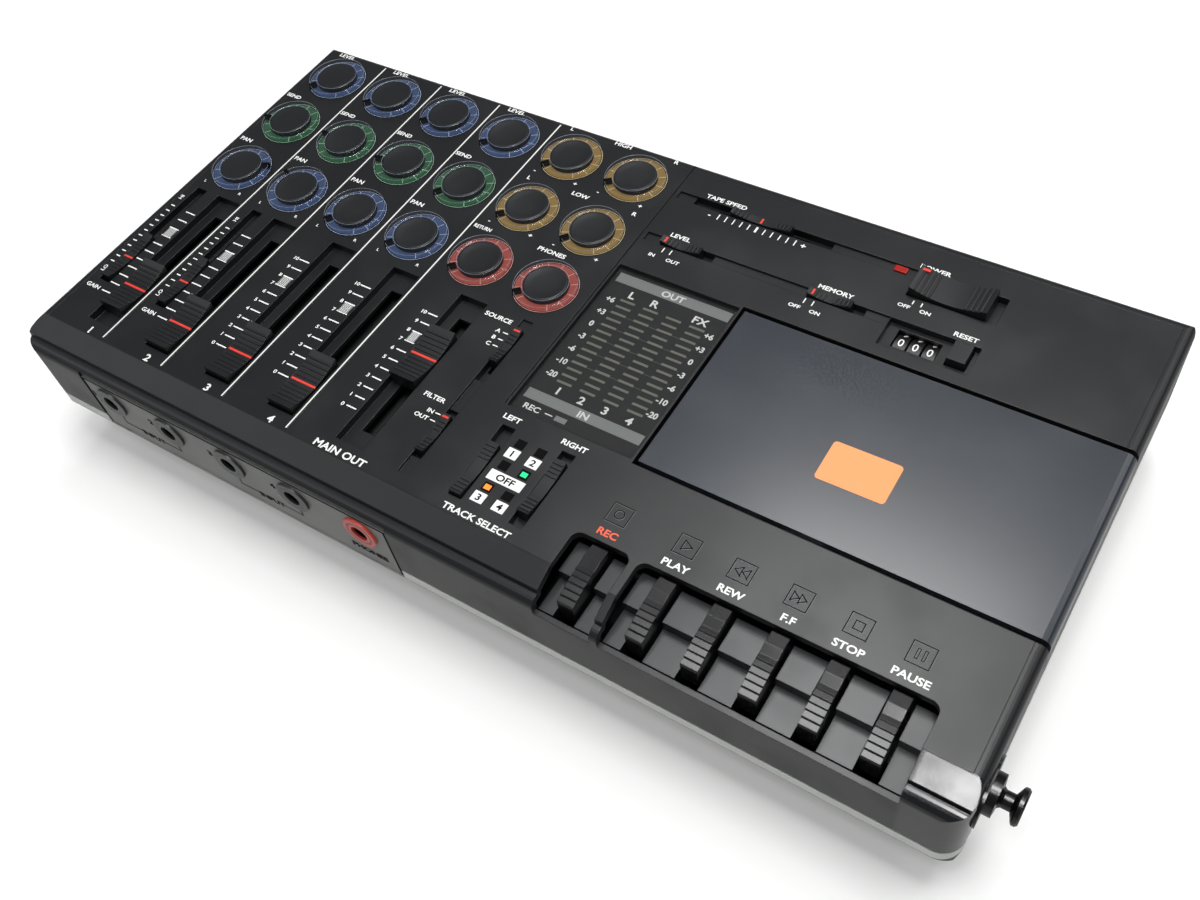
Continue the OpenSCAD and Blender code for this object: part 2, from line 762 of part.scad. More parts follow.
module rear_panel() difference() {
    slab([rear_u0, rear_u1], [rear_v0, rear_v0 + panel_t], [rear_z0, rear_z1]);
    for (i = [0 : phono_count - 1])
        rod_v(phono_u + i * phono_pitch, [0, rear_v0 + panel_t + eps], rear_z, phono_neck_d + 2 * clear);
    rod_v(inlet_u, [0, rear_v0 + panel_t + eps], rear_z, inlet_d + 2 * clear);
}

module jack_panel() difference() {
    union() {
        slab([panel_u0, panel_u1], [front_v - panel_inset - panel_t, front_v - panel_inset],
            [panel_z0, panel_z1]);
        slab([panel_u0, panel_u1], [front_v - panel_inset - panel_t, front_v - panel_inset - 1.4],
            [panel_z1 - eps, panel_z1 + shadow_h]);
        slab([panel_u0, panel_u1], [front_v - panel_inset - 1.5, front_v - panel_inset - 0.5],
            [panel_z1 + 0.8, panel_z1 + 1.2]);
    }
    for (u = jack_us)
        rod_v(u, [front_v - panel_inset - panel_t - eps, front_v], jack_z, jack_bore + 5);
}

module meter_window() color("#3c3e40") {
    slab([deck_u + 1.1, deck_u + 1.1 + meter_w], [meter_v, meter_v + meter_l],
        [top_z - meter_t, top_z - 0.1]);
    slab([deck_u + 4, deck_u + meter_w - 2], [meter_v + 3, meter_v + meter_l - 3],
        [board_top_z, top_z - meter_t]);
}

// A long cap whose top is a hollow arc: length along v, its middle at the origin's level
module hollow_cap(l, w, low, high, sag) {
    r = (l * l / 4 + sag * sag) / (2 * sag);
    difference() {
        translate([-w / 2, -l / 2, low]) cube([w, l, high - low]);
        translate([-w, 0, high - sag + r]) rotate([0, 90, 0]) cylinder(r = r, h = 2 * w, $fn = 96);
    }
}

// A slide pot or switch on the board, with a slot for the stem, its length along v
module slide_body(w, l, high, slot_l, slot_depth) {
    difference() {
        translate([-w / 2, -l / 2, board_top_z]) cube([w, l, high - board_top_z]);
        translate([-stem_w / 2 - clear, -slot_l / 2, high - slot_depth])
            cube([stem_w + 2 * clear, slot_l, slot_depth + eps]);
    }
}

// A slider: cap, and the stem down into its slide body
module slider(l, w, high, sag, stem_low) {
    hollow_cap(l, w, slider_z, top_z + high, sag);
    translate([-stem_w / 2, -stem_l / 2, stem_low]) cube([stem_w, stem_l, slider_z - stem_low + eps]);
}

module knob(u, v, pointer) color("#26272a") put(u, v, 0) rotate([0, 0, -pointer]) {
    cap_r = knob_cap_d / 2;
    skirt_r = knob_d / 2;
    skirt_z = knob_z + knob_h;
    difference() {
        rotate_extrude() polygon([
            [0, shaft_z], [shaft_d / 2, shaft_z], [shaft_d / 2, knob_z], [skirt_r, knob_z],
            [skirt_r - 0.3, skirt_z - 0.3], [skirt_r - 0.6, skirt_z], [cap_r + 0.3, skirt_z],
            [cap_r + 0.2, skirt_z - 0.3], [cap_r, skirt_z - 0.3], [cap_r - 0.1, skirt_z + 0.1],
            [cap_r - 0.6, skirt_z + 0.3], [cap_r / 2, skirt_z + 0.3 - 0.8 * knob_dish],
            [0, skirt_z + 0.3 - knob_dish]
        ]);
        translate([-0.7, cap_r + 0.5, skirt_z - 0.5]) cube([1.4, skirt_r - cap_r, 2]);
    }
}

module fader(u, rest) color("#232426") put(u, fader_top_v + rest, 0)
    slider(fader_cap_l, fader_cap_w, fader_cap_h, fader_cap_h - 0.5, fader_body_z - 5);

module trim_slider(u) color("#232426") put(u, fader_top_v + trim_rest, 0)
    slider(fader_cap_l, trim_cap_w, switch_h, switch_h - 0.3, switch_body_z - 3);

module switch_slider(l, w) color("#232426")
    slider(l, w, switch_h, switch_h - 0.4, switch_body_z - 3);

module power_slider() color("#37383a")
    put(power_mid_u, power_v, 0) rotate([0, 0, 90])
        slider(power_l, power_w, power_h, power_h - 1.2, switch_body_z - 3);

module pot(u, v) difference() {
    union() {
        rod(u, v, [board_top_z, pot_top_z], pot_d);
        rod(u, v, [pot_top_z - eps, under_z - 0.6], pot_bush_d);
    }
    rod(u, v, [shaft_z - 0.4, top_z], shaft_d + 2 * run_fit);
}

module board_plate() {
    difference() {
        union() {
            slab([7, door_u - 2], [5, front_v - 7], [board_z, board_top_z]);
            slab([door_u - 3, chassis_u1], [5, door_v - 4], [board_z, board_top_z]);
        }
        for (p = screw_places) rod(p[0], p[1], [board_z - 1, board_top_z + 1], column_d + 1);
    }
}

module counter_frame() {
    half = 1.5 * wheel_pitch;
    slab([wheels_u - half - 1.4, wheels_u + half + 1.4], [wheels_v - 4, wheels_v + 4],
        [board_top_z, board_top_z + 1.5]);
    for (u = [wheels_u - half - 1.4, wheels_u + half + 0.2])
        slab([u, u + 1.2], [wheels_v - 4, wheels_v + 4], [board_top_z, wheel_z + 3]);
    rod_u([wheels_u - half - 1.4, wheels_u + half + 1.4], wheels_v, wheel_z, wheel_axle_d);
    difference() {
        slab([reset_u - 4, reset_u + 4], [reset_v - 5, reset_v + 5], [board_top_z, switch_body_z - 1]);
        slab([reset_u - 1.5 - clear, reset_u + 1.5 + clear], [reset_v - 1.5 - clear, reset_v + 1.5 + clear],
            [board_top_z + 1, top_z]);
    }
}

module circuit_board() color("#2f6b46") {
    board_plate();
    for (p = knob_places) pot(p[0], p[1]);
    for (u = fader_us) put(u, (fader_top_v + fader_bottom_v) / 2, 0)
        slide_body(fader_body_w, fader_travel + 14, fader_body_z, fader_travel + stem_l + 2, 6);
    for (u = trim_us) put(u, fader_top_v + trim_travel / 2, 0)
        slide_body(5, trim_travel + 14, switch_body_z, trim_travel + stem_l + 2, 4);
    for (v = [monitor_v + switch_step, nr_v - switch_step / 2]) put(monitor_u, v, 0)
        slide_body(5.4, 22, switch_body_z, 16, 4);
    for (u = selector_u) put(u, selector_v, 0) slide_body(6, 24, switch_body_z, 18, 4);
    put(pitch_u, pitch_v, 0) rotate([0, 0, 90])
        slide_body(6, 2 * pitch_travel + 20, switch_body_z, 2 * pitch_travel + stem_l + 2, 4);
    for (u = [meter_slider_u, zero_slider_u]) put(u + switch_step / 2, lower_v, 0) rotate([0, 0, 90])
        slide_body(6, 20, switch_body_z, 14, 4);
    put(power_mid_u + switch_step / 2, power_v, 0) rotate([0, 0, 90])
        slide_body(9, 20, switch_body_z, 14, 4);
    counter_frame();
}

module front_jack(u) difference() {
    union() {
        slab([u - jack_w / 2, u + jack_w / 2],
            [front_v - panel_inset - panel_t - jack_depth + 2, front_v - panel_inset - panel_t],
            [board_top_z, 2 * jack_z - board_top_z]);
        rod_v(u, [front_v - panel_inset - panel_t - eps, front_v - panel_inset], jack_z, jack_bore + 4);
        rod_v(u, [front_v - panel_inset, front_v - panel_inset + jack_collar_h], jack_z, jack_collar_d);
    }
    rod_v(u, [front_v - panel_inset + jack_collar_h - jack_depth, front_v + 5], jack_z, jack_bore);
}

module phono_socket(u) difference() {
    union() {
        slab([u - 5, u + 5], [5.5, 13], [board_top_z, 2 * rear_z - board_top_z]);
        rod_v(u, [-phono_h, -phono_flange + eps], rear_z, phono_d);
        rod_v(u, [-phono_flange, rear_v0], rear_z, phono_d + 3);
        rod_v(u, [rear_v0 - eps, 6], rear_z, phono_neck_d);
    }
    rod_v(u, [-phono_h - eps, 2], rear_z, 3.4);
}

module power_inlet() difference() {
    union() {
        slab([inlet_u - 5.5, inlet_u + 5.5], [5.5, 14], [board_top_z, 2 * rear_z - board_top_z]);
        rod_v(inlet_u, [rear_v0 - 0.1, 6], rear_z, inlet_d);
    }
    rod_v(inlet_u, [0, 11], rear_z, inlet_bore);
}

module sockets() color("#1c1c1e") {
    for (u = jack_us) front_jack(u);
    for (i = [0 : phono_count - 1]) phono_socket(phono_u + i * phono_pitch);
    power_inlet();
}

module strap_button() color("#141416") put(body_w, strap_v, strap_z) rotate([0, 90, 0]) {
    neck_r = strap_neck_d / 2;
    head_r = strap_head_d / 2;
    end_r = strap_base_w / 2;
    rotate_extrude() polygon([
        [0, -wall - 2], [neck_r + 2, -wall - 2], [neck_r + 2, -wall], [neck_r, -wall], [neck_r, 0],
        [head_r + 0.8, 0], [head_r + 0.8, 3.2], [neck_r + 0.6, 3.6], [neck_r, 4.4], [neck_r, strap_l - 3],
        [head_r - 0.6, strap_l - 2], [head_r, strap_l - 1.6], [head_r, strap_l - 0.6],
        [head_r - 0.6, strap_l], [0, strap_l]
    ]);
    for (s = [-1, 1]) translate([0, s * (strap_base_l / 2 - end_r), 0]) cylinder(r = end_r, h = 0.8);
    translate([-end_r, end_r - strap_base_l / 2, 0]) cube([2 * end_r, strap_base_l - 2 * end_r, 0.8]);
}

// Feet, case screws, the spacers around the screws, and the strap button
module fittings() {
    color("#1a1a1a") for (p = feet_places)
        put(p[0], p[1], 0) cylinder(d1 = foot_d - 2, d2 = foot_d, h = foot_h);
    color("silver") for (p = screw_places) {
        rod(p[0], p[1], [seat_z(p) - 2.5, seat_z(p)], head_d);
        rod(p[0], p[1], [seat_z(p) - eps, boss_z + 4.5], screw_d);
    }
    color("#8a8d90") for (p = screw_places) difference() {
        rod(p[0], p[1], [parting_z, boss_z], column_d);
        rod(p[0], p[1], [parting_z - 1, boss_z + 1], screw_d + 2 * clear);
    }
    strap_button();
}

module cassette_well() color("#202123") difference() {
    u0 = lug_left_u;
    u1 = lug_right_u + lug_w;
    union() {
        difference() {
            slab([u0, u1], [well_v0 - well_wall, well_v1 + well_wall], [well_z, door_axis_z - lug_r - 2]);
            slab([u0 + lug_w, u1 - lug_w], [well_v0, well_v1], [well_top_z, top_z]);
        }
        for (u = [u0, u1 - lug_w]) {
            slab([u, u + lug_w], [door_axis_v - lug_r, door_axis_v + lug_r], [well_z, door_axis_z]);
            rod_u([u, u + lug_w], door_axis_v, door_axis_z, 2 * lug_r);
        }
    }
    for (i = [0, 1]) rod(reel_u + i * reel_pitch, reel_v, [well_z - eps, top_z], 13);
    rod(capstan_u, capstan_v, [well_z - eps, top_z], capstan_d + 4);
    slab([bridge_u0 - 1, bridge_u1 + 1], [head_v0 - bridge_travel - 1, well_v1 + well_wall + eps],
        [well_z - eps, top_z]);
    rod_u([u0 - eps, u1 + eps], door_axis_v, door_axis_z, 2 * (hinge_pin_r + run_fit));
}

module bearing(u, v, z0, d) rod(u, v, [z0, chassis_z + eps], d + 5);

module transport_chassis() color("#a9abad") {
    difference() {
        union() {
            slab([chassis_u0, chassis_u1], [chassis_v0, chassis_v1], [chassis_z, chassis_top_z]);
            for (i = [0, 1]) bearing(reel_u + i * reel_pitch, reel_v, chassis_z - 6, 3);
            bearing(capstan_u, capstan_v, flywheel_z + flywheel_h + clear, capstan_d);
            for (u = [chassis_u0 + 2, lug_right_u - 3], v = [well_v0 + 4, well_v1 - 8])
                rod(u + 3, v, [chassis_top_z - eps, well_z], 5);
            for (u = guide_us) {
                rod(u, guide_v, [chassis_top_z - eps, bridge_z - 0.2], 7);
                rod(u, guide_v, [chassis_top_z - eps, bridge_z + bridge_t + 1], guide_d);
            }
            slab([capstan_u - flywheel_d / 2 - 5, capstan_u - flywheel_d / 2 - 3],
                [capstan_v - 5, capstan_v + 5], [flywheel_z - 7, chassis_z + eps]);
            slab([capstan_u - flywheel_d / 2 - 5, capstan_u + 4], [capstan_v - 5, capstan_v + 5],
                [flywheel_z - 7, flywheel_z - 5]);
            rod(capstan_u, capstan_v, [flywheel_z - 7, flywheel_z - 1], bearing_d + 1);
        }
        for (i = [0, 1])
            rod(reel_u + i * reel_pitch, reel_v, [chassis_z - 7, chassis_top_z + 1], 3 + 2 * run_fit);
        rod(capstan_u, capstan_v, [flywheel_z - 4.9, chassis_top_z + 1], capstan_d + 2 * run_fit);
    }
    rod(motor_u, motor_v, [chassis_z - motor_h, chassis_z], motor_d);
    rod(motor_u, motor_v, [chassis_z - motor_h - 3, chassis_z - motor_h + eps], 8);
}

module spindle(i) color("#d8d8d4") {
    u = reel_u + i * reel_pitch;
    rod(u, reel_v, [chassis_z - 6, chassis_top_z + clear + eps], 3);
    rod(u, reel_v, [chassis_top_z + clear, chassis_top_z + 2.6], 26);
    rod(u, reel_v, [chassis_top_z + 2.6 - eps, well_top_z + 2], 9);
    put(u, reel_v, 0) {
        translate([0, 0, well_top_z + 2 - eps]) cylinder(d = 6.4, h = spindle_tip_z - well_top_z - 4);
        translate([0, 0, spindle_tip_z - 2 - 2 * eps]) cylinder(d1 = 6.4, d2 = 3.4, h = 2);
        for (a = [0 : 60 : 300]) rotate([0, 0, a])
            translate([0, -0.7, well_top_z + 2 - eps]) cube([4.4, 1.4, spindle_tip_z - well_top_z - 5]);
    }
}

module flywheel() color("#b9b2a0") {
    difference() {
        rod(capstan_u, capstan_v, [flywheel_z, flywheel_z + flywheel_h], flywheel_d);
        difference() {
            rod(capstan_u, capstan_v, [flywheel_z - eps, flywheel_z + 2], flywheel_d - 8);
            rod(capstan_u, capstan_v, [flywheel_z - 1, flywheel_z + 3], 14);
        }
    }
    rod(capstan_u, capstan_v, [flywheel_z - 4.7, flywheel_z + eps], capstan_d);
    rod(capstan_u, capstan_v, [flywheel_z + flywheel_h - eps, spindle_tip_z], capstan_d);
}

module head_bridge() color("#c2c4c6") {
    top = bridge_z + bridge_t;
    difference() {
        slab([bridge_u0, bridge_u1], [bridge_v0, bridge_v1], [bridge_z, top]);
        for (u = guide_us) {
            v = bridge_v0 + bridge_l / 2;
            w = guide_d / 2 + clear;
            slab([u - w, u + w], [v - bridge_travel / 2 - w, v + bridge_travel / 2 + w],
                [bridge_z - eps, top + eps]);
        }
    }
    slab([reel_u + reel_pitch / 2 - 6, reel_u + reel_pitch / 2 + 6], [head_v0, head_v0 + 8],
        [top - eps, top + 12]);
    slab([reel_u - 1, reel_u + 7], [head_v0, head_v0 + 7], [top - eps, top + 11]);
    rod(capstan_u, roller_v, [top - eps, roller_z - 0.3], 2 * roller_pin_d);
    rod(capstan_u, roller_v, [top - eps, roller_z + 9], roller_pin_d);
}

module pinch_roller() color("#222222") difference() {
    rod(capstan_u, roller_v, [roller_z, roller_z + 8], 2 * roller_r);
    rod(capstan_u, roller_v, [bridge_z, top_z], roller_pin_d + 2 * run_fit);
}

module counter_wheel(i) color("#111214") {
    u = wheels_u + (i - 1) * wheel_pitch;
    difference() {
        rod_u([u - wheel_w / 2, u + wheel_w / 2], wheels_v, wheel_z, wheel_d);
        rod_u([u - wheel_w, u + wheel_w], wheels_v, wheel_z, wheel_axle_d + 2 * run_fit);
    }
}

module reset_button() color("#55575a") {
    slab([reset_u - reset_w / 2, reset_u + reset_w / 2], [reset_v - reset_l / 2, reset_v + reset_l / 2],
        [top_z - counter_recess_h - 3, top_z + 0.6]);
    slab([reset_u - 1.5, reset_u + 1.5], [reset_v - 1.5, reset_v + 1.5],
        [board_top_z + 1 + reset_travel + 0.6, top_z - counter_recess_h - 3 + eps]);
}

module cassette_door() color("#5b6470") {
    pocket_r = lug_r + clear;
    front = door_v + door_l;
    difference() {
        intersection() {
            union() {
                slab([door_u, door_right_u], [door_v, front], [door_under_z, top_z]);
                slab([door_right_u - wall, door_right_u], [door_v, front], [top_z - door_apron, top_z]);
            }
            front_form(cover_front(0, 0), [0, body_d]);
        }
        for (u = [lug_left_u, lug_right_u]) {
            rod_u([u - clear, u + lug_w + clear], door_axis_v, door_axis_z, 2 * pocket_r);
            slab([u - clear, u + lug_w + clear], [door_v - 1, door_axis_v], [0, door_axis_z + lug_r]);
        }
    }
    for (e = [lug_left_u - clear - arm_w, lug_right_u + lug_w + clear]) {
        rod_u([e, e + arm_w], door_axis_v, door_axis_z, 2 * lug_r);
        slab([e, e + arm_w], [door_axis_v - lug_r, door_axis_v + lug_r], [door_axis_z, door_under_z + eps]);
    }
    rod_u([lug_left_u - clear - eps, lug_left_u + lug_w], door_axis_v, door_axis_z, 2 * hinge_pin_r);
    rod_u([lug_right_u, lug_right_u + lug_w + clear + eps], door_axis_v, door_axis_z, 2 * hinge_pin_r);
}

// Fall of a key's finger part at a step, counted from the rear
function key_drop(i, s, steps) = 0.4 + 0.25 * s + 0.35 * (i - s / 2) * (i - s / 2) / steps + 0.1 * i;

// A lever on the pivot rod, with a stepped finger part in front
module transport_key(u) color("#2a2b2e") difference() {
    steps = 5;
    step_v = (key_front_v - bay_v) / 10;
    rib_v = key_front_v - steps * step_v - 0.2;
    union() {
        side_form(concat(
            [[pivot_v, pivot_z - pivot_r], [key_front_v - 2, key_low_z], [key_front_v, key_low_z + 0.6]],
            [[key_front_v, key_top_z - 4]],
            [for (i = [steps : -1 : 0], s = [0, 1])
                [rib_v + i * step_v - s * (step_v - 0.3), key_top_z - key_drop(i, s, steps)]],
            [[rib_v - 2.4 * step_v, key_top_z], [bay_v + 1.2, key_top_z - 0.5]],
            [[bay_v + 0.4, key_top_z - 1.6]],
            [[bay_v + 0.4, under_z - 1.2], [pivot_v, pivot_z + pivot_r]]
        ), [u - key_w / 2, u + key_w / 2]);
        rod_u([u - key_w / 2, u + key_w / 2], pivot_v, pivot_z, 2 * pivot_r);
    }
    rod_u([u - key_w, u + key_w], pivot_v, pivot_z, pivot_d + 2 * run_fit);
}

// Pads and ledge between two values of u
module comb_tooth(u) {
    tooth_z = comb_foot_z + rail_h;
    pad_v = bay_v + 0.487 * (bay_front_v - bay_v);
    slab(u, [bay_v + 0.3, pad_v], [tooth_z - eps, top_z - pad_drop]);
    slab(u, [pad_v - eps, bay_front_v - 0.4], [tooth_z - eps, top_z - ledge_drop]);
}

module key_comb() color("#4a4d50") {
    side = key_w / 2 + key_gap;
    slab([comb_u0, comb_u1], [bay_v + 0.3, chassis_v1], [comb_foot_z, comb_foot_z + rail_h]);
    comb_tooth([bay_u[0] + 0.4, rec_u - side]);
    comb_tooth([rec_u + side, bay_u[1] - 0.4]);
    comb_tooth([bays_u[0] + 0.4, key_us[0] - side]);
    for (i = [0 : 3]) comb_tooth([key_us[i] + side, key_us[i + 1] - side]);
    comb_tooth([key_us[4] + side, bays_u[1] - 0.4]);
    for (u = [comb_u0, comb_u1 - 3]) {
        slab([u, u + 3], [comb_v0, bay_v + 1], [comb_foot_z, pivot_z + 4]);
    }
    rod_u([comb_u0, comb_u1], pivot_v, pivot_z, pivot_d);
}

top_cover();
case_rim();
bottom_cover();
connector_panels();
meter_window();
key_comb();
cassette_well();
transport_chassis();
circuit_board();
sockets();
fittings();
cassette_door();
spindle(0);  // supply_spindle
spindle(1);  // takeup_spindle
flywheel();
head_bridge();
pinch_roller();
for (i = [0 : 2]) counter_wheel(i);
reset_button();
transport_key(rec_u);  // key_rec
for (i = [0 : 4]) transport_key(key_us[i]);
for (row = [0 : 2], i = CHANNELS)
    knob(knob_u + i * channel_pitch, knob_v + row * knob_row_pitch, channel_pointers[row][i]);
for (row = [0 : 2], i = [0, 1])
    knob(tone_u + i * tone_pitch, knob_v + row * knob_row_pitch, tone_pointers[row][i]);
for (i = CHANNELS)
    fader(fader_us[i], fader_travel - fader_rest[i]);
fader(master_u, master_rest);  // fader_master
trim_slider(trim_us[0]);  // trim_1
trim_slider(trim_us[1]);  // trim_2
put(monitor_u, monitor_v) switch_slider(switch_l, switch_w);  // monitor_slider
put(monitor_u, nr_v) switch_slider(switch_l, switch_w);  // nr_slider
put(selector_u[0], selector_v + selector_step) switch_slider(selector_l, selector_w);  // record_left_slider
put(selector_u[1], selector_v) switch_slider(selector_l, selector_w);  // record_right_slider
put(pitch_u, pitch_v) rotate([0, 0, 90]) switch_slider(pitch_l, switch_w);  // pitch_slider
put(meter_slider_u, lower_v) rotate([0, 0, 90]) switch_slider(switch_l, switch_w);  // meter_slider
put(zero_slider_u, lower_v) rotate([0, 0, 90]) switch_slider(switch_l, switch_w);  // zero_slider
power_slider();
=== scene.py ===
import math

import bmesh
import bpy
from mathutils import Matrix, Vector


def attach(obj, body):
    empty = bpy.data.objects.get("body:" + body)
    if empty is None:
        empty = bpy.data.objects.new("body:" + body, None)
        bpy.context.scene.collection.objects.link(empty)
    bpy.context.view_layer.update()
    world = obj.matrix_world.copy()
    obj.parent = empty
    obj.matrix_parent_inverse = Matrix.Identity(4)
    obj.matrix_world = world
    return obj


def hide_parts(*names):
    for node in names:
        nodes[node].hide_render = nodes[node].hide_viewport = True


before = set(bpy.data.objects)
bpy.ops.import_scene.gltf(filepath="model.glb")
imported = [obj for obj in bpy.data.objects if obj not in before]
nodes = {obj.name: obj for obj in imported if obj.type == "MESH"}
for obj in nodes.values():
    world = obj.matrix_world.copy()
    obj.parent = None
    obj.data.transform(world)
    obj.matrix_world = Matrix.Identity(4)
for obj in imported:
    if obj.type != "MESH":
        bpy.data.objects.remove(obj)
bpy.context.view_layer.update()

# Measures of the recorder in millimetres: u runs right from the left side, v forward from the rear side.
MM = 0.001
CASE_W, CASE_D, TOP = 352.0, 178.5, 62.0
CHANNEL = 28.75
ROW_V = [17.1, 46.5, 75.9]
TONE_U = [131.8, 159.6]
FADER_U = [24.4, 53.15, 81.9, 110.65, 140.4]
KEY_U = [230.8, 253.6, 271.3, 289.0, 306.7, 324.4]
FIRST_KNOB_U, FIRST_DIVIDER_U = 17.0, 31.375
JACK_U, JACK_PITCH, JACK_Z, JACK_FACE_V = 39.6, 28.6, 45.5, 178.2
PLATE_U, PLATE_Z = (28.5, 166.5), (28.1, 53.8)
METER_Z, METER_U, METER_PITCH, SEGMENT_PITCH = 60.22, 187.4, 8.87, 3.0
WHEEL_V, WHEEL_Z, WHEEL_R = 43.55, 51.3, 7.5
PRINT_Z = TOP + 0.03
LAYER = 0.02
CAPITAL = 0.729


def at(u, v, z):
    """A place on the recorder as a vector in metres."""
    return Vector(((u - CASE_W / 2) * MM, (CASE_D / 2 - v) * MM, z * MM))


def srgb(red, green, blue):
    """A colour given as on screen, as the numbers that a shader takes."""
    parts = [c / 255 for c in (red, green, blue)]
    return tuple(c / 12.92 if c <= 0.04045 else ((c + 0.055) / 1.055) ** 2.4 for c in parts) + (1.0,)


# ---------------------------------------------------------------- finishes


def wire(tree, out, to):
    tree.links.new(out, to)


def maths(tree, operation, *values):
    """The outcome of a sum; each value may be a number or an output."""
    node = tree.nodes.new("ShaderNodeMath")
    node.operation = operation
    for value, socket in zip(values, node.inputs):
        if isinstance(value, (int, float)):
            socket.default_value = value
        else:
            wire(tree, value, socket)
    return node.outputs[0]


def grain_group():
    """Moulded grain: a height that varies, and a slow mottle."""
    tree = bpy.data.node_groups.new("moulded grain", "ShaderNodeTree")
    tree.interface.new_socket("Vector", in_out="INPUT", socket_type="NodeSocketVector")
    size = tree.interface.new_socket("Grain size mm", in_out="INPUT", socket_type="NodeSocketFloat")
    size.default_value = 0.4
    tree.interface.new_socket("Height", in_out="OUTPUT", socket_type="NodeSocketFloat")
    tree.interface.new_socket("Mottle", in_out="OUTPUT", socket_type="NodeSocketFloat")
    inside = tree.nodes.new("NodeGroupInput")
    outside = tree.nodes.new("NodeGroupOutput")
    scale = maths(tree, "DIVIDE", 1000.0, inside.outputs["Grain size mm"])
    fine = tree.nodes.new("ShaderNodeTexNoise")
    fine.inputs["Detail"].default_value = 2.0
    wire(tree, inside.outputs["Vector"], fine.inputs["Vector"])
    wire(tree, scale, fine.inputs["Scale"])
    slow = tree.nodes.new("ShaderNodeTexNoise")
    slow.inputs["Scale"].default_value = 28.0
    slow.inputs["Detail"].default_value = 4.0
    wire(tree, inside.outputs["Vector"], slow.inputs["Vector"])
    wire(tree, fine.outputs["Fac"], outside.inputs["Height"])
    wire(tree, slow.outputs["Fac"], outside.inputs["Mottle"])
    return tree


def handling_group():
    """Marks of use: specks of dust and soft smudges, each from 0 to 1."""
    tree = bpy.data.node_groups.new("marks of use", "ShaderNodeTree")
    tree.interface.new_socket("Vector", in_out="INPUT", socket_type="NodeSocketVector")
    tree.interface.new_socket("Specks", in_out="OUTPUT", socket_type="NodeSocketFloat")
    tree.interface.new_socket("Smudges", in_out="OUTPUT", socket_type="NodeSocketFloat")
    inside = tree.nodes.new("NodeGroupInput")
    outside = tree.nodes.new("NodeGroupOutput")
    for label, scale, low, high in (("Specks", 900.0, 0.74, 0.8), ("Smudges", 45.0, 0.45, 0.75)):
        noise = tree.nodes.new("ShaderNodeTexNoise")
        noise.inputs["Scale"].default_value = scale
        noise.inputs["Detail"].default_value = 3.0
        ramp = tree.nodes.new("ShaderNodeMapRange")
        ramp.inputs["From Min"].default_value = low
        ramp.inputs["From Max"].default_value = high
        wire(tree, inside.outputs["Vector"], noise.inputs["Vector"])
        wire(tree, noise.outputs["Fac"], ramp.inputs["Value"])
        wire(tree, ramp.outputs["Result"], outside.inputs[label])
    return tree


GRAIN = grain_group()
HANDLING = handling_group()


def blank_material(name):
    material = bpy.data.materials.new(name)
    material.use_nodes = True
    return material, material.node_tree, material.node_tree.nodes["Principled BSDF"]


def mix_colour(tree, factor, first, second):
    """A mix of two colours; each may be a colour or an output."""
    node = tree.nodes.new("ShaderNodeMix")
    node.data_type = "RGBA"
    wire(tree, factor, node.inputs["Factor"])
    for value, socket in ((first, node.inputs[6]), (second, node.inputs[7])):
        if isinstance(value, tuple):
            socket.default_value = value
        else:
            wire(tree, value, socket)
    return node.outputs[2]


def map_range(tree, value, low, high, to_low, to_high):
    node = tree.nodes.new("ShaderNodeMapRange")
    wire(tree, value, node.inputs["Value"])
    for label, number in (("From Min", low), ("From Max", high), ("To Min", to_low), ("To Max", to_high)):
        node.inputs[label].default_value = number
    return node.outputs["Result"]


def place_parts(tree):
    """X, y and z of the place on the recorder, in a finish that already reads it."""
    split = tree.nodes.new("ShaderNodeSeparateXYZ")
    wire(tree, tree.nodes["Texture Coordinate"].outputs["Object"], split.inputs["Vector"])
    return split.outputs["X"], split.outputs["Y"], split.outputs["Z"]


def recolour(tree, factor, colour):
    """Lays another colour over the one that a finish has."""
    base = tree.nodes["Principled BSDF"].inputs["Base Color"]
    wire(tree, mix_colour(tree, factor, base.links[0].from_socket, colour), base)


def moulded(name, colour, rough, grain=0.12, size=0.35, dust=0.5, coat=0.0, edge=0.0):
    """Moulded plastic, rubber or paint: grain, mottled gloss, smudges and a little dust."""
    material, tree, shader = blank_material(name)
    place = tree.nodes.new("ShaderNodeTexCoord")
    group = tree.nodes.new("ShaderNodeGroup")
    group.node_tree = GRAIN
    group.inputs["Grain size mm"].default_value = size
    marks = tree.nodes.new("ShaderNodeGroup")
    marks.node_tree = HANDLING
    wire(tree, place.outputs["Object"], group.inputs["Vector"])
    wire(tree, place.outputs["Object"], marks.inputs["Vector"])
    darker = tuple(c * 0.86 for c in colour[:3]) + (1.0,)
    lighter = tuple(c * 1.12 + 0.0006 for c in colour[:3]) + (1.0,)
    base = mix_colour(tree, group.outputs["Mottle"], darker, lighter)
    dusty = tuple(min(1.0, c + 0.05 * dust) for c in colour[:3]) + (1.0,)
    wire(tree, mix_colour(tree, marks.outputs["Specks"], base, dusty), shader.inputs["Base Color"])
    wire(tree, map_range(tree, marks.outputs["Smudges"], 0, 1, rough, rough + 0.1), shader.inputs["Roughness"])
    bump = tree.nodes.new("ShaderNodeBump")
    bump.inputs["Strength"].default_value = grain
    bump.inputs["Distance"].default_value = 0.00006
    wire(tree, group.outputs["Height"], bump.inputs["Height"])
    wire(tree, bump.outputs["Normal"], shader.inputs["Normal"])
    if edge:
        soft = tree.nodes.new("ShaderNodeBevel")
        soft.samples = 4
        soft.inputs["Radius"].default_value = edge * MM
        wire(tree, soft.outputs["Normal"], bump.inputs["Normal"])
    shader.inputs["Coat Weight"].default_value = coat
    shader.inputs["Coat Roughness"].default_value = 0.12
    return material


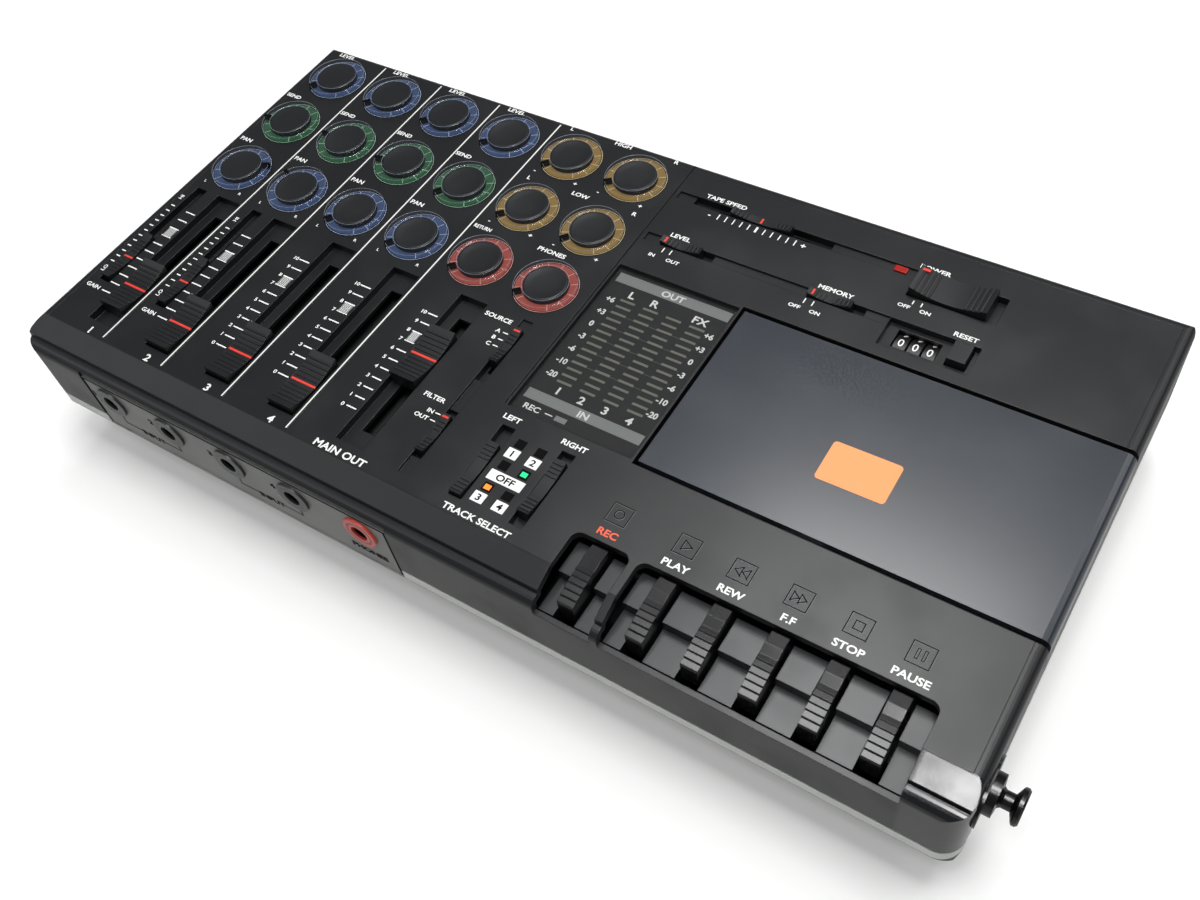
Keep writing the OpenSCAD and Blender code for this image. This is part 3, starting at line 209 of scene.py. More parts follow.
def metal(name, colour, rough):
    """Plated or turned metal with fine brushing."""
    material, tree, shader = blank_material(name)
    place = tree.nodes.new("ShaderNodeTexCoord")
    turn = tree.nodes.new("ShaderNodeMapping")
    turn.inputs["Scale"].default_value = (1.0, 30.0, 1.0)
    noise = tree.nodes.new("ShaderNodeTexNoise")
    noise.inputs["Scale"].default_value = 300.0
    noise.inputs["Detail"].default_value = 3.0
    wire(tree, place.outputs["Object"], turn.inputs["Vector"])
    wire(tree, turn.outputs["Vector"], noise.inputs["Vector"])
    darker = tuple(c * 0.8 for c in colour[:3]) + (1.0,)
    wire(tree, mix_colour(tree, noise.outputs["Fac"], darker, colour), shader.inputs["Base Color"])
    wire(tree, map_range(tree, noise.outputs["Fac"], 0.3, 0.7, rough, rough + 0.15), shader.inputs["Roughness"])
    shader.inputs["Metallic"].default_value = 1.0
    return material


def ink(name, colour, rough=0.45, patchy=0.12, specular=0.5):
    """Screen printing ink, a little uneven."""
    material, tree, shader = blank_material(name)
    place = tree.nodes.new("ShaderNodeTexCoord")
    group = tree.nodes.new("ShaderNodeGroup")
    group.node_tree = GRAIN
    group.inputs["Grain size mm"].default_value = 0.5
    wire(tree, place.outputs["Object"], group.inputs["Vector"])
    darker = tuple(c * (1 - patchy) for c in colour[:3]) + (1.0,)
    wire(tree, mix_colour(tree, group.outputs["Height"], darker, colour), shader.inputs["Base Color"])
    wire(tree, map_range(tree, group.outputs["Mottle"], 0.3, 0.7, rough, rough + 0.1), shader.inputs["Roughness"])
    shader.inputs["Specular IOR Level"].default_value = specular
    return material


def clear_plastic(name, colour, alpha, rough, coat=0.0, coat_rough=0.03):
    """Thin clear or smoked plastic, seen through by its alpha."""
    material, tree, shader = blank_material(name)
    place = tree.nodes.new("ShaderNodeTexCoord")
    marks = tree.nodes.new("ShaderNodeGroup")
    marks.node_tree = HANDLING
    wire(tree, place.outputs["Object"], marks.inputs["Vector"])
    dusty = tuple(min(1.0, c * 1.1 + 0.003) for c in colour[:3]) + (1.0,)
    wire(tree, mix_colour(tree, marks.outputs["Smudges"], colour, dusty), shader.inputs["Base Color"])
    wire(tree, map_range(tree, marks.outputs["Smudges"], 0, 1, rough, rough + 0.05), shader.inputs["Roughness"])
    wire(tree, map_range(tree, marks.outputs["Specks"], 0, 1, alpha, min(1, alpha + 0.1)), shader.inputs["Alpha"])
    shader.inputs["Coat Weight"].default_value = coat
    shader.inputs["Coat Roughness"].default_value = coat_rough
    return material


def glow(name, colour, strength, body_colour):
    """A lamp behind a small lens."""
    material, tree, shader = blank_material(name)
    place = tree.nodes.new("ShaderNodeTexCoord")
    noise = tree.nodes.new("ShaderNodeTexNoise")
    noise.inputs["Scale"].default_value = 700.0
    wire(tree, place.outputs["Object"], noise.inputs["Vector"])
    wire(tree, mix_colour(tree, noise.outputs["Fac"], body_colour, colour), shader.inputs["Base Color"])
    shader.inputs["Emission Color"].default_value = colour
    shader.inputs["Emission Strength"].default_value = strength
    shader.inputs["Roughness"].default_value = 0.25
    return material


def panel_finish(name, colour, rough):
    """The upper case: satin black, with white lines on the raised dividers and a lip polished by the hand."""
    material = moulded(name, colour, rough, edge=0.35)
    tree = material.node_tree
    gloss = tree.nodes["Principled BSDF"].inputs["Roughness"]
    x, y, z = place_parts(tree)
    raised = map_range(tree, z, (TOP + 0.2) * MM, (TOP + 0.24) * MM, 0, 1)
    along = maths(tree, "ADD", x, (CASE_W / 2 - FIRST_DIVIDER_U + CHANNEL) * MM)
    aside = maths(tree, "PINGPONG", along, CHANNEL / 2 * MM)
    line = map_range(tree, aside, 0.24 * MM, 0.3 * MM, 1, 0)
    recolour(tree, maths(tree, "MULTIPLY", raised, line), srgb(226, 226, 222))
    lip = at(334, 165.6, 0)
    past_left = map_range(tree, x, lip.x, lip.x + 2 * MM, 0, 1)
    past_rear = map_range(tree, y, lip.y - MM, lip.y, 1, 0)
    handled = maths(tree, "MULTIPLY", past_left, past_rear)
    wire(tree, maths(tree, "MULTIPLY_ADD", handled, 0.14 - rough, gloss.links[0].from_socket), gloss)
    return material


def fittings_finish(name):
    """Rubber feet, plated screws and spacers, and an enamelled strap button."""
    rubber_rough, plated_rough = 0.7, 0.22
    material = moulded(name, srgb(18, 18, 18), rubber_rough, grain=0.2, size=0.5)
    tree = material.node_tree
    shader = tree.nodes["Principled BSDF"]
    x, y, z = place_parts(tree)
    spot = at(347.0, 157.0, 4.1)
    over_feet = map_range(tree, z, spot.z, spot.z + 0.1 * MM, 0, 1)
    at_right = map_range(tree, x, spot.x, spot.x + 0.1 * MM, 0, 1)
    at_front = map_range(tree, y, spot.y - 0.1 * MM, spot.y, 1, 0)
    button = maths(tree, "MULTIPLY", at_right, at_front)
    plated = maths(tree, "MULTIPLY", over_feet, map_range(tree, button, 0, 1, 1, 0))
    recolour(tree, plated, srgb(150, 152, 155))
    recolour(tree, button, srgb(9, 9, 10))
    wire(tree, plated, shader.inputs["Metallic"])
    wire(tree, map_range(tree, over_feet, 0, 1, rubber_rough, plated_rough), shader.inputs["Roughness"])
    return material


def socket_finish(name, colour, rough):
    """Black sockets; the turned collars of the front ones are grey with a dark groove, the last one red."""
    material = moulded(name, colour, rough, grain=0.05, edge=0.1)
    tree = material.node_tree
    x, y, z = place_parts(tree)
    spot = at(JACK_U, JACK_FACE_V, JACK_Z)
    from_axis = tree.nodes.new("ShaderNodeCombineXYZ")
    along = maths(tree, "PINGPONG", maths(tree, "SUBTRACT", x, spot.x), JACK_PITCH / 2 * MM)
    wire(tree, along, from_axis.inputs["X"])
    wire(tree, maths(tree, "SUBTRACT", z, spot.z), from_axis.inputs["Y"])
    radius = tree.nodes.new("ShaderNodeVectorMath")
    radius.operation = "LENGTH"
    wire(tree, from_axis.outputs[0], radius.inputs[0])
    groove_r, half_groove = 4.7, 0.45
    groove = maths(tree, "COMPARE", radius.outputs["Value"], groove_r * MM, half_groove * MM)
    last_x = spot.x + 3.5 * JACK_PITCH * MM
    last = map_range(tree, x, last_x, last_x + MM, 0, 1)
    proud = map_range(tree, y, spot.y - 0.1 * MM, spot.y, 1, 0)
    collar = mix_colour(tree, last, srgb(52, 53, 54), srgb(196, 70, 58))
    turned = mix_colour(tree, groove, collar, mix_colour(tree, last, colour, srgb(120, 34, 30)))
    recolour(tree, proud, turned)
    return material


def lower_finish(name, colour, strip_grey_and_reflection, rough):
    """The lower cover, whose front strip under the parting line is paler: partly its own grey, partly a painted
    reflection of the white table.
    """
    material = moulded(name, colour, rough, grain=0.25, size=0.5, edge=0.4)
    tree = material.node_tree
    z = place_parts(tree)[2]
    # The strip's pale colour: its own grey plus a painted reflection of the table.
    recolour(tree, map_range(tree, z, 27.6 * MM, 27.9 * MM, 0, 1), strip_grey_and_reflection)
    return material


CASE = panel_finish("satin black case", srgb(20, 21, 23), 0.33)
# The strip colour here holds a painted reflection of the white table on top of the strip's own grey.
LOWER = lower_finish("grained lower case", srgb(34, 35, 36), srgb(196, 198, 194), 0.42)
JACK_PLATE = moulded("jack plate", srgb(106, 108, 105), 0.34, grain=0.06, edge=0.15)
COMB = moulded("key bay plastic", srgb(34, 36, 38), 0.3, edge=0.3)
KEY = moulded("key plastic", srgb(19, 19, 21), 0.26, grain=0.05, coat=0.3, edge=0.35)
SLIDER = moulded("slider plastic", srgb(19, 20, 22), 0.38, grain=0.1, size=0.25, edge=0.2)
POWER = moulded("power slider plastic", srgb(22, 23, 25), 0.38, grain=0.1, edge=0.25)
BUTTON = moulded("button plastic", srgb(24, 25, 27), 0.34, grain=0.1, edge=0.25)
WELL = moulded("well plastic", srgb(14, 14, 16), 0.5)
# The solder mask is darkened almost to black: painted shade where the board shows through the slider slots.
BOARD_AND_SHADE = moulded("solder mask", srgb(9, 20, 14), 0.5)
SOCKET = socket_finish("socket plastic", srgb(16, 16, 17), 0.26)
WHEEL = moulded("counter wheel", srgb(12, 12, 13), 0.45)
CAP = moulded("knob cap plastic", srgb(19, 21, 24), 0.36, grain=0.08, size=0.25)
SKIRT = clear_plastic("clear knob skirt", srgb(60, 62, 66), 0.12, 0.05, coat=1.0)
# Paler, nearly opaque clear plastic for painted glints on the knob skirts' edges.
SKIRT_GLINT = clear_plastic("painted glint on a skirt edge", srgb(146, 154, 168), 0.85, 0.1, coat=1.0)
DOOR = clear_plastic("smoked door", srgb(36, 42, 50), 0.93, 0.3, coat=0.7, coat_rough=0.2)
PANE = clear_plastic("clear meter pane", srgb(20, 21, 22), 0.12, 0.12, coat=0.5)
METER_BED = moulded("meter bed", srgb(22, 23, 24), 0.6, grain=0.03)
ROLLER = moulded("roller rubber", srgb(16, 16, 17), 0.7)
HUB = moulded("white hub plastic", srgb(205, 205, 198), 0.4, dust=0.0)
FITTINGS = fittings_finish("fittings")
STEEL = metal("zinc plated steel", srgb(168, 170, 172), 0.3)
BRIGHT = metal("bright steel", srgb(200, 202, 205), 0.2)
WHITE_INK = ink("white ink", srgb(236, 237, 234))
GREY_INK = ink("grey ink", srgb(132, 136, 134))
RED_INK = ink("red ink", srgb(222, 58, 46))
ORANGE_INK = ink("orange red ink", srgb(240, 92, 60))
BLUE_RING = ink("blue ring", srgb(60, 80, 120), 0.3)
GREEN_RING = ink("green ring", srgb(42, 94, 60), 0.3)
AMBER_RING = ink("amber ring", srgb(152, 122, 62), 0.3)
RED_RING = ink("red ring", srgb(170, 76, 66), 0.3)
# The pale inks print the real ticks and also a painted glint: the circle under each clear skirt's outer edge.
BLUE_TICKS_AND_GLINT = ink("pale blue ticks and painted glint", srgb(176, 192, 224), 0.3)
GREEN_TICKS_AND_GLINT = ink("pale green ticks and painted glint", srgb(166, 206, 178), 0.3)
AMBER_TICKS_AND_GLINT = ink("pale amber ticks and painted glint", srgb(228, 212, 166), 0.3)
RED_TICKS_AND_GLINT = ink("pale red ticks and painted glint", srgb(228, 174, 164), 0.3)
# Near-black ink: real print on the tiles, jack plate and knob pointers, the dark base of the knob rings and the select
# window cells, and painted shade in the key symbol lines, the jack plate seams and the screw slots.
DARK_INK_AND_SHADE = ink("dark groove", srgb(5, 5, 6), 0.6, specular=0.08)
PAINTED_GROOVE_HIGHLIGHT = ink("painted highlight on a groove edge", srgb(92, 95, 98), 0.4)
TILE = ink("white tile", srgb(240, 240, 236), 0.35, 0.04)
BAR = ink("meter segment", srgb(116, 117, 106), 0.4)
LABEL = ink("orange paper", srgb(252, 160, 104), 0.7, 0.05)
RED_LENS = glow("red lens", srgb(170, 30, 22), 0.12, srgb(110, 18, 14))
GREEN_LAMP = glow("green lamp", srgb(40, 200, 130), 0.9, srgb(20, 120, 70))
ORANGE_LAMP = glow("orange lamp", srgb(255, 120, 40), 1.6, srgb(180, 60, 20))

CAD_FINISHES = {
    "top_cover": CASE, "case_rim": CASE, "bottom_cover": LOWER, "connector_panels": JACK_PLATE, "key_comb": COMB,
    "cassette_well": WELL, "transport_chassis": STEEL, "circuit_board": BOARD_AND_SHADE, "sockets": SOCKET,
    "fittings": FITTINGS, "cassette_door": DOOR, "supply_spindle": HUB, "takeup_spindle": HUB,
    "flywheel": STEEL, "head_bridge": BRIGHT, "pinch_roller": ROLLER, "reset_button": BUTTON,
    "power_slider": POWER, "meter_window": METER_BED,
}
for name, node in nodes.items():
    if name in CAD_FINISHES:
        finish = CAD_FINISHES[name]
    elif name.startswith("knob_"):
        finish = CAP
    elif name.startswith("key_"):
        finish = KEY
    elif name.startswith("counter_"):
        finish = WHEEL
    else:
        finish = SLIDER
    node.data.materials.clear()
    node.data.materials.append(finish)
    node.data.polygons.foreach_set("material_index", [0] * len(node.data.polygons))

# ---------------------------------------------------------------- making pieces


class Maker:
    """Gathers faces in u, v, z millimetres, each with a finish, into one piece."""

    def __init__(self):
        self.bm = bmesh.new()
        self.finishes = []

    def finish_index(self, finish):
        if finish not in self.finishes:
            self.finishes.append(finish)
        return self.finishes.index(finish)

    def face(self, corners, finish, up=None):
        """A flat face; up is the side that it faces."""
        face = self.bm.faces.new([self.bm.verts.new(corner) for corner in corners])
        face.material_index = self.finish_index(finish)
        if up is not None:
            face.normal_update()
            if face.normal.dot(Vector(up)) < 0:
                face.normal_flip()
        return face

    def flat(self, u, v, z, finish):
        """A printed rectangle on the panel."""
        self.face([at(u[0], v[0], z), at(u[1], v[0], z), at(u[1], v[1], z), at(u[0], v[1], z)], finish, (0, 0, 1))

    def outline(self, u, v, z, line, finish):
        """A printed rectangular line."""
        self.flat(u, (v[0], v[0] + line), z, finish)
        self.flat(u, (v[1] - line, v[1]), z, finish)
        self.flat((u[0], u[0] + line), (v[0] + line, v[1] - line), z, finish)
        self.flat((u[1] - line, u[1]), (v[0] + line, v[1] - line), z, finish)

    def stroke(self, points, z, line, finish):
        """A printed line through points of u and v."""
        for (u0, v0), (u1, v1) in zip(points, points[1:]):
            along = Vector((u1 - u0, v1 - v0)).normalized() * line / 2
            side = Vector((-along.y, along.x))
            first, last = Vector((u0, v0)) - along, Vector((u1, v1)) + along
            corners = [first + side, last + side, last - side, first - side]
            self.face([at(c.x, c.y, z) for c in corners], finish, (0, 0, 1))

    def ring(self, u, v, z, inner, outer, finish, start=0.0, end=360.0, steps=72):
        """A printed ring, its angles clockwise from the rear."""
        for i in range(steps):
            a = math.radians(start + (end - start) * i / steps)
            b = math.radians(start + (end - start) * (i + 1) / steps)
            spots = [(inner, a), (outer, a), (outer, b), (inner, b)]
            corners = [at(u + r * math.sin(t), v - r * math.cos(t), z) for r, t in spots]
            self.face(corners, finish, (0, 0, 1))

    def block(self, u, v, z, finish, round_edge=0.0):
        """A block between two values of u, v and z."""
        bm = bmesh.new()
        bmesh.ops.create_cube(bm, size=1.0)
        low, high = at(u[0], v[1], z[0]), at(u[1], v[0], z[1])
        for vert in bm.verts:
            vert.co = Vector([low[i] + (vert.co[i] + 0.5) * (high[i] - low[i]) for i in range(3)])
        if round_edge:
            bmesh.ops.bevel(bm, geom=bm.edges[:], offset=round_edge * MM, segments=2, profile=0.5, affect="EDGES")
        self.take(bm, finish)

    def take(self, bm, finish):
        """Adds the faces of another mesh."""
        index = self.finish_index(finish)
        spots = {vert: self.bm.verts.new(vert.co) for vert in bm.verts}
        for face in bm.faces:
            made = self.bm.faces.new([spots[vert] for vert in face.verts])
            made.material_index = index
            made.smooth = face.smooth
        bm.free()

    def lathe(self, u, v, profile, finish):
        """A turned form about an upright axis; the profile is radius and z."""
        steps = 64
        bm = bmesh.new()
        rings = []
        for radius, z in profile:
            centre = at(u, v, z)
            if radius < 1e-6:
                rings.append([bm.verts.new(centre)])
                continue
            ring = []
            for i in range(steps):
                t = 2 * math.pi * i / steps
                ring.append(bm.verts.new(centre + Vector((math.cos(t), math.sin(t), 0)) * radius * MM))
            rings.append(ring)
        for low, high in zip(rings, rings[1:]):
            for i in range(steps):
                j = (i + 1) % steps
                corners = [low[i % len(low)], low[j % len(low)], high[j % len(high)], high[i % len(high)]]
                corners = list(dict.fromkeys(corners))
                if len(corners) > 2:
                    bm.faces.new(corners).smooth = True
        bmesh.ops.recalc_face_normals(bm, faces=bm.faces[:])
        self.take(bm, finish)

    def words(self, text, u, v, height, finish, z=PRINT_Z, align="centre", turn=0.0, wide=1.16, bold=0.026):
        """Printed characters, their middle line at v and their middle or end at u."""
        self.spread(text, height, wide, bold, align, finish, lambda x, y: at(
            u + x * math.cos(turn) + y * math.sin(turn), v - y * math.cos(turn) + x * math.sin(turn), z), (0, 0, 1))

    def spread(self, text, height, wide, bold, align, finish, where, up):
        """Characters set out by where(x, y) in millimetres."""
        curve = bpy.data.curves.new("lettering", "FONT")
        curve.body = text
        curve.size = 1.0
        curve.offset = bold
        curve.resolution_u = 3
        holder = bpy.data.objects.new("lettering", curve)
        bpy.context.scene.collection.objects.link(holder)
        bpy.context.view_layer.update()
        flat = bpy.data.meshes.new_from_object(holder.evaluated_get(bpy.context.evaluated_depsgraph_get()))
        xs = [vert.co.x for vert in flat.vertices]
        shift = {"centre": (min(xs) + max(xs)) / 2, "right": max(xs)}[align]
        scale = height / CAPITAL
        index = self.finish_index(finish)
        spots = [
            self.bm.verts.new(where((p.co.x - shift) * scale * wide, (p.co.y - CAPITAL / 2) * scale))
            for p in flat.vertices
        ]
        for polygon in flat.polygons:
            face = self.bm.faces.new([spots[i] for i in polygon.vertices])
            face.material_index = index
            face.normal_update()
            if face.normal.dot(Vector(up)) < 0:
                face.normal_flip()
        bpy.data.objects.remove(holder)
        bpy.data.curves.remove(curve)
        bpy.data.meshes.remove(flat)

    def piece(self, name, body, slot):
        """The gathered faces as one piece that moves with a body."""
        mesh = bpy.data.meshes.new(name)
        self.bm.to_mesh(mesh)
        self.bm.free()
        for finish in self.finishes:
            mesh.materials.append(finish)
        made = bpy.data.objects.new(name, mesh)
        bpy.context.scene.collection.objects.link(made)
        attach(made, body)
        return made


# ---------------------------------------------------------------- printing on the panel

TURN = math.radians(-90)


def scale_marks(maker, u, number_u=None):
    """Eleven marks of a fader, its shaded span and, where there is room, its numbers."""
    top_v, pitch, shaded = 103.8, 4.44, (112.9, 117.0)
    for i in range(11):
        v = top_v + pitch * i
        maker.flat(u, (v - 0.25, v + 0.25), PRINT_Z, WHITE_INK)
        if number_u is not None:
            maker.words(str(10 - i), number_u, v, 1.5, WHITE_INK)
    maker.flat((u[0] + 0.3, u[1] - 0.3), shaded, PRINT_Z, GREY_INK)
    for k in range(1, 5):
        cut = u[0] + 0.3 + (u[1] - u[0] - 0.6) * k / 5
        maker.flat((cut - 0.08, cut + 0.08), shaded, PRINT_Z + LAYER, WHITE_INK)


def print_mixer():
    """Words and scales of the mixer at the left."""
    maker = Maker()
    for i in range(4):
        u = i * CHANNEL
        maker.words("LEVEL", u + 11, 3.2, 1.9, WHITE_INK)
        maker.words("SEND", u + 6.6, 32.6, 1.8, WHITE_INK)
        maker.words("PAN", u + 6.4, 61.6, 1.9, WHITE_INK)
        maker.words("L", u + 8, 87.2, 1.2, WHITE_INK)
        maker.words("R", u + 26, 87.2, 1.2, WHITE_INK)
        maker.words(str(i + 1), u + 24.2, 164.2, 2.9, WHITE_INK)
        numbers = None if i < 2 else 12.0 + u
        scale_marks(maker, (13.3 + u, 17.9 + u), numbers)
    scale_marks(maker, (129.6, 133.6), 128.0)
    for u in (0.0, CHANNEL):
        for k in range(12):
            v = 103.4 + 2.93 * k
            maker.flat((u + 4.9, u + 6.8), (v - 0.25, v + 0.25), PRINT_Z, WHITE_INK)
        maker.words("HI", u + 5.6, 98.4, 1.5, WHITE_INK, turn=TURN)
        maker.words("LO", u + 5.6, 139.6, 1.5, WHITE_INK, turn=TURN)
        maker.words("GAIN", u + 8.6, 148.0, 1.7, WHITE_INK)
    for v, word in ((2.8, "HIGH"), (32.5, "LOW")):
        maker.words("L", 123.0, v, 1.8, WHITE_INK)
        maker.words(word, 145.7, v, 1.9, WHITE_INK)
        maker.words("R", 168.5, v, 1.8, WHITE_INK)
    for v in (28.2, 57.5):
        for u, sign in ((122.7, "-"), (140.5, "+"), (150.5, "-"), (168.2, "+")):
            maker.words(sign, u, v, 1.8, WHITE_INK)
    maker.words("RETURN", 122.6, 61.6, 1.7, WHITE_INK, wide=0.85)
    maker.words("PHONES", 152.2, 61.2, 1.9, WHITE_INK)
    maker.words("MAIN OUT", 140.0, 164.2, 2.7, WHITE_INK)
    maker.words("SOURCE", 152.8, 94.6, 1.8, WHITE_INK)
    for v, word in ((99.5, "A"), (102.5, "B"), (105.5, "C")):
        maker.words(word, 157.0, v - 0.1, 1.6, WHITE_INK, align="right")
        maker.flat((158.0, 160.0), (v - 0.2, v + 0.2), PRINT_Z, WHITE_INK)
    maker.words("FILTER", 154.0, 132.2, 1.8, WHITE_INK)
    for v, word in ((137.3, "IN"), (140.3, "OUT")):
        maker.words(word, 157.2, v, 1.6, WHITE_INK, align="right")
        maker.flat((158.0, 160.0), (v - 0.2, v + 0.2), PRINT_Z, WHITE_INK)
    maker.piece("mixer_printing", "body", "case")


def print_deck():
    """Words and scales of the tape deck at the right."""
    maker = Maker()
    maker.words("TAPE SPEED", 195.0, 13.4, 1.9, WHITE_INK)
    for k in range(11):
        u = 210.7 + (k - 5) * 2.95
        half = 0.4 if k == 5 else 0.2
        maker.flat((u - half, u + half), (20.0, 22.6), PRINT_Z, WHITE_INK)
    maker.words("-", 192.6, 21.4, 2.2, WHITE_INK, bold=0.03)
    maker.words("+", 228.6, 21.4, 2.2, WHITE_INK, bold=0.03)
    maker.words("LEVEL", 189.2, 35.6, 1.9, WHITE_INK)
    for u in (186.7, 189.7, 240.2, 243.2):
        maker.flat((u - 0.2, u + 0.2), (42.4, 44.6), PRINT_Z, WHITE_INK)
    maker.words("IN", 184.2, 47.0, 1.5, WHITE_INK)
    maker.words("OUT", 192.4, 47.0, 1.5, WHITE_INK)
    maker.words("MEMORY", 247.6, 35.4, 1.9, WHITE_INK)
    maker.words("OFF", 238.2, 46.8, 1.5, WHITE_INK)
    maker.words("ON", 245.4, 46.8, 1.5, WHITE_INK)
    maker.words("POWER", 272.4, 13.0, 1.9, WHITE_INK)
    for u in (271.5, 274.4):
        maker.flat((u - 0.2, u + 0.2), (28.3, 30.0), PRINT_Z, WHITE_INK)
    maker.words("OFF", 269.4, 31.6, 1.5, WHITE_INK)
    maker.words("ON", 276.6, 31.6, 1.5, WHITE_INK)
    maker.words("RESET", 292.0, 35.5, 1.9, WHITE_INK)
    maker.words("LEFT", 181.6, 127.8, 2.0, WHITE_INK)
    maker.words("RIGHT", 205.0, 127.8, 2.0, WHITE_INK)
    maker.words("TRACK SELECT", 193.4, 164.2, 2.3, WHITE_INK)
    words = ["REC", "PLAY", "REW", "F.F", "STOP", "PAUSE"]
    for u, word in zip(KEY_U, words):
        maker.words(word, u, 149.8, 2.4, ORANGE_INK if word == "REC" else WHITE_INK)
    maker.piece("deck_printing", "body", "case")


def engrave_symbols():
    """The grooved squares with the transport symbols behind the keys, printed flat: each line is painted shade of its
    groove, with a painted highlight along one edge.
    """
    maker = Maker()
    v, line = 142.7, 0.3
    # First the painted highlight, a little offset, then the painted shade of the groove over it.
    for shift, z, finish in ((0.16, PRINT_Z, PAINTED_GROOVE_HIGHLIGHT), (0.0, PRINT_Z + LAYER, DARK_INK_AND_SHADE)):
        for k, u in enumerate(KEY_U):
            c, r = u - 0.3 + shift, v + shift
            maker.outline((c - 3.5, c + 3.5), (r - 3.5, r + 3.5), z, line, finish)
            if k == 0:
                maker.ring(c, r, z, 1.35, 1.65, finish, steps=32)
            elif k == 1:
                corners = [(c - 1.3, r - 1.6), (c + 1.6, r), (c - 1.3, r + 1.6), (c - 1.3, r - 1.6)]
                maker.stroke(corners, z, line, finish)
            elif k in (2, 3):
                way = -1 if k == 2 else 1
                for aside in (-1.15, 1.15):
                    tip, back = c + aside + way, c + aside - way
                    maker.stroke([(back, r - 1.5), (tip, r), (back, r + 1.5), (back, r - 1.5)], z, line, finish)
            elif k == 4:
                maker.outline((c - 1.5, c + 1.5), (r - 1.5, r + 1.5), z, line, finish)
            else:
                for aside in (-1.0, 1.0):
                    maker.outline((c + aside - 0.5, c + aside + 0.5), (r - 1.7, r + 1.7), z, line * 0.8, finish)
    maker.piece("key_symbols", "body", "case")


def select_window():
    """Lamps and numbered tiles between the two track selectors."""
    maker = Maker()
    z = TOP + 0.05
    lamps = {(0, 2): ORANGE_LAMP, (1, 1): GREEN_LAMP}
    for column, u in enumerate(((188.0, 191.4), (195.4, 198.9))):
        for row, v in enumerate(((133.4, 136.8), (142.4, 145.8), (151.4, 154.6))):
            maker.flat(u, v, z, DARK_INK_AND_SHADE)
            lamp = lamps.get((column, row))
            if lamp:
                mid_u, mid_v = sum(u) / 2, sum(v) / 2
                maker.flat((mid_u - 1.1, mid_u + 1.1), (mid_v - 0.9, mid_v + 0.9), z + 0.03, lamp)
    tiles = {
        "1": ((187.2, 191.6), (137.4, 141.2)), "2": ((195.0, 199.4), (137.4, 141.2)),
        "OFF": ((187.0, 199.6), (146.6, 150.4)),
        "3": ((187.2, 191.6), (155.4, 159.2)), "4": ((195.0, 199.4), (155.4, 159.2)),
    }
    for word, (u, v) in tiles.items():
        maker.block(u, v, (TOP - 0.1, TOP + 0.25), TILE, 0.12)
        maker.words(word, sum(u) / 2, sum(v) / 2, 2.4, DARK_INK_AND_SHADE, z=TOP + 0.27)
    maker.piece("track_tiles", "body", "case")


def knob_ring_prints():
    """Coloured scale rings with pale ticks on the panel, seen through the clear skirts, each with a pale circle of
    painted glint under the skirt's outer edge.
    """
    maker = Maker()
    blue, green = (BLUE_RING, BLUE_TICKS_AND_GLINT), (GREEN_RING, GREEN_TICKS_AND_GLINT)
    amber, red = (AMBER_RING, AMBER_TICKS_AND_GLINT), (RED_RING, RED_TICKS_AND_GLINT)
    spots = [(FIRST_KNOB_U + i * CHANNEL, v, inks) for v, inks in zip(ROW_V, (blue, green, blue)) for i in range(4)]
    spots += [(u, v, inks) for v, inks in zip(ROW_V, (amber, amber, red)) for u in TONE_U]
    for u, v, (band, line) in spots:
        maker.ring(u, v, PRINT_Z, 7.9, 11.75, DARK_INK_AND_SHADE)
        maker.ring(u, v, PRINT_Z + LAYER, 8.1, 11.1, band)
        # Pale circle under the skirt's outer edge: a painted glint, not print.
        maker.ring(u, v, PRINT_Z + LAYER, 11.4, 11.55, line)
        for k in range(11):
            angle = -145 + 29 * k
            maker.ring(u, v, PRINT_Z + 2 * LAYER, 8.3, 11.1, line, angle - 0.8, angle + 0.8, 1)
    maker.piece("knob_rings", "body", "case")


# ---------------------------------------------------------------- knobs


def make_knob(name, u, v, angle):
    """A clear skirt with pale rings of painted glint on its inner and outer edges, a dished cap and a black pointer
    notch.
    """
    low, skirt = TOP + 0.32, TOP + 2.15
    cap = Maker()
    cap.lathe(u, v, [
        (0.0, low), (7.9, low), (7.85, skirt - 0.2), (7.75, skirt - 0.02), (7.5, skirt + 0.08), (7.1, skirt + 0.06),
        (6.5, skirt - 0.06), (4.0, skirt - 0.2), (0.0, skirt - 0.28),
    ], CAP)
    notch = bmesh.new()
    bmesh.ops.create_cube(notch, size=1.0)
    for vert in notch.verts:
        x, y, z = vert.co
        vert.co = Vector((x * 1.3 * MM, (10.05 + y * 3.1) * MM, (low + (z + 0.5) * (skirt - low + 0.12)) * MM))
    bmesh.ops.bevel(notch, geom=notch.edges[:], offset=0.12 * MM, segments=1, affect="EDGES")
    turn = Matrix.Rotation(-math.radians(angle), 4, "Z")
    bmesh.ops.transform(notch, matrix=Matrix.Translation(at(u, v, 0)) @ turn, verts=notch.verts[:])
    cap.take(notch, DARK_INK_AND_SHADE)
    made = cap.piece(name + "_cap", name, "knob_clear")
    clear = Maker()
    clear.lathe(u, v, [
        (8.0, low), (11.45, low), (11.5, low + 0.25), (11.5, skirt - 0.75), (11.3, skirt - 0.3), (10.85, skirt - 0.02),
        (10.3, skirt), (8.5, skirt), (8.2, skirt - 0.12), (8.0, skirt - 0.3), (8.0, low),
    ], SKIRT)
    # Pale rings along the skirt's inner and outer edges: painted glints of the clear plastic.
    for radius, wide, z in ((8.2, 0.13, skirt + 0.01), (11.25, 0.1, skirt - 0.22)):
        clear.lathe(u, v, [
            (radius - wide / 2, z - 0.1), (radius + wide / 2, z - 0.1), (radius + wide / 2, z + 0.02),
            (radius, z + 0.06), (radius - wide / 2, z + 0.02), (radius - wide / 2, z - 0.1),
        ], SKIRT_GLINT)
    clear.piece(name + "_skirt", name, "knob_clear")
    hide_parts(name)


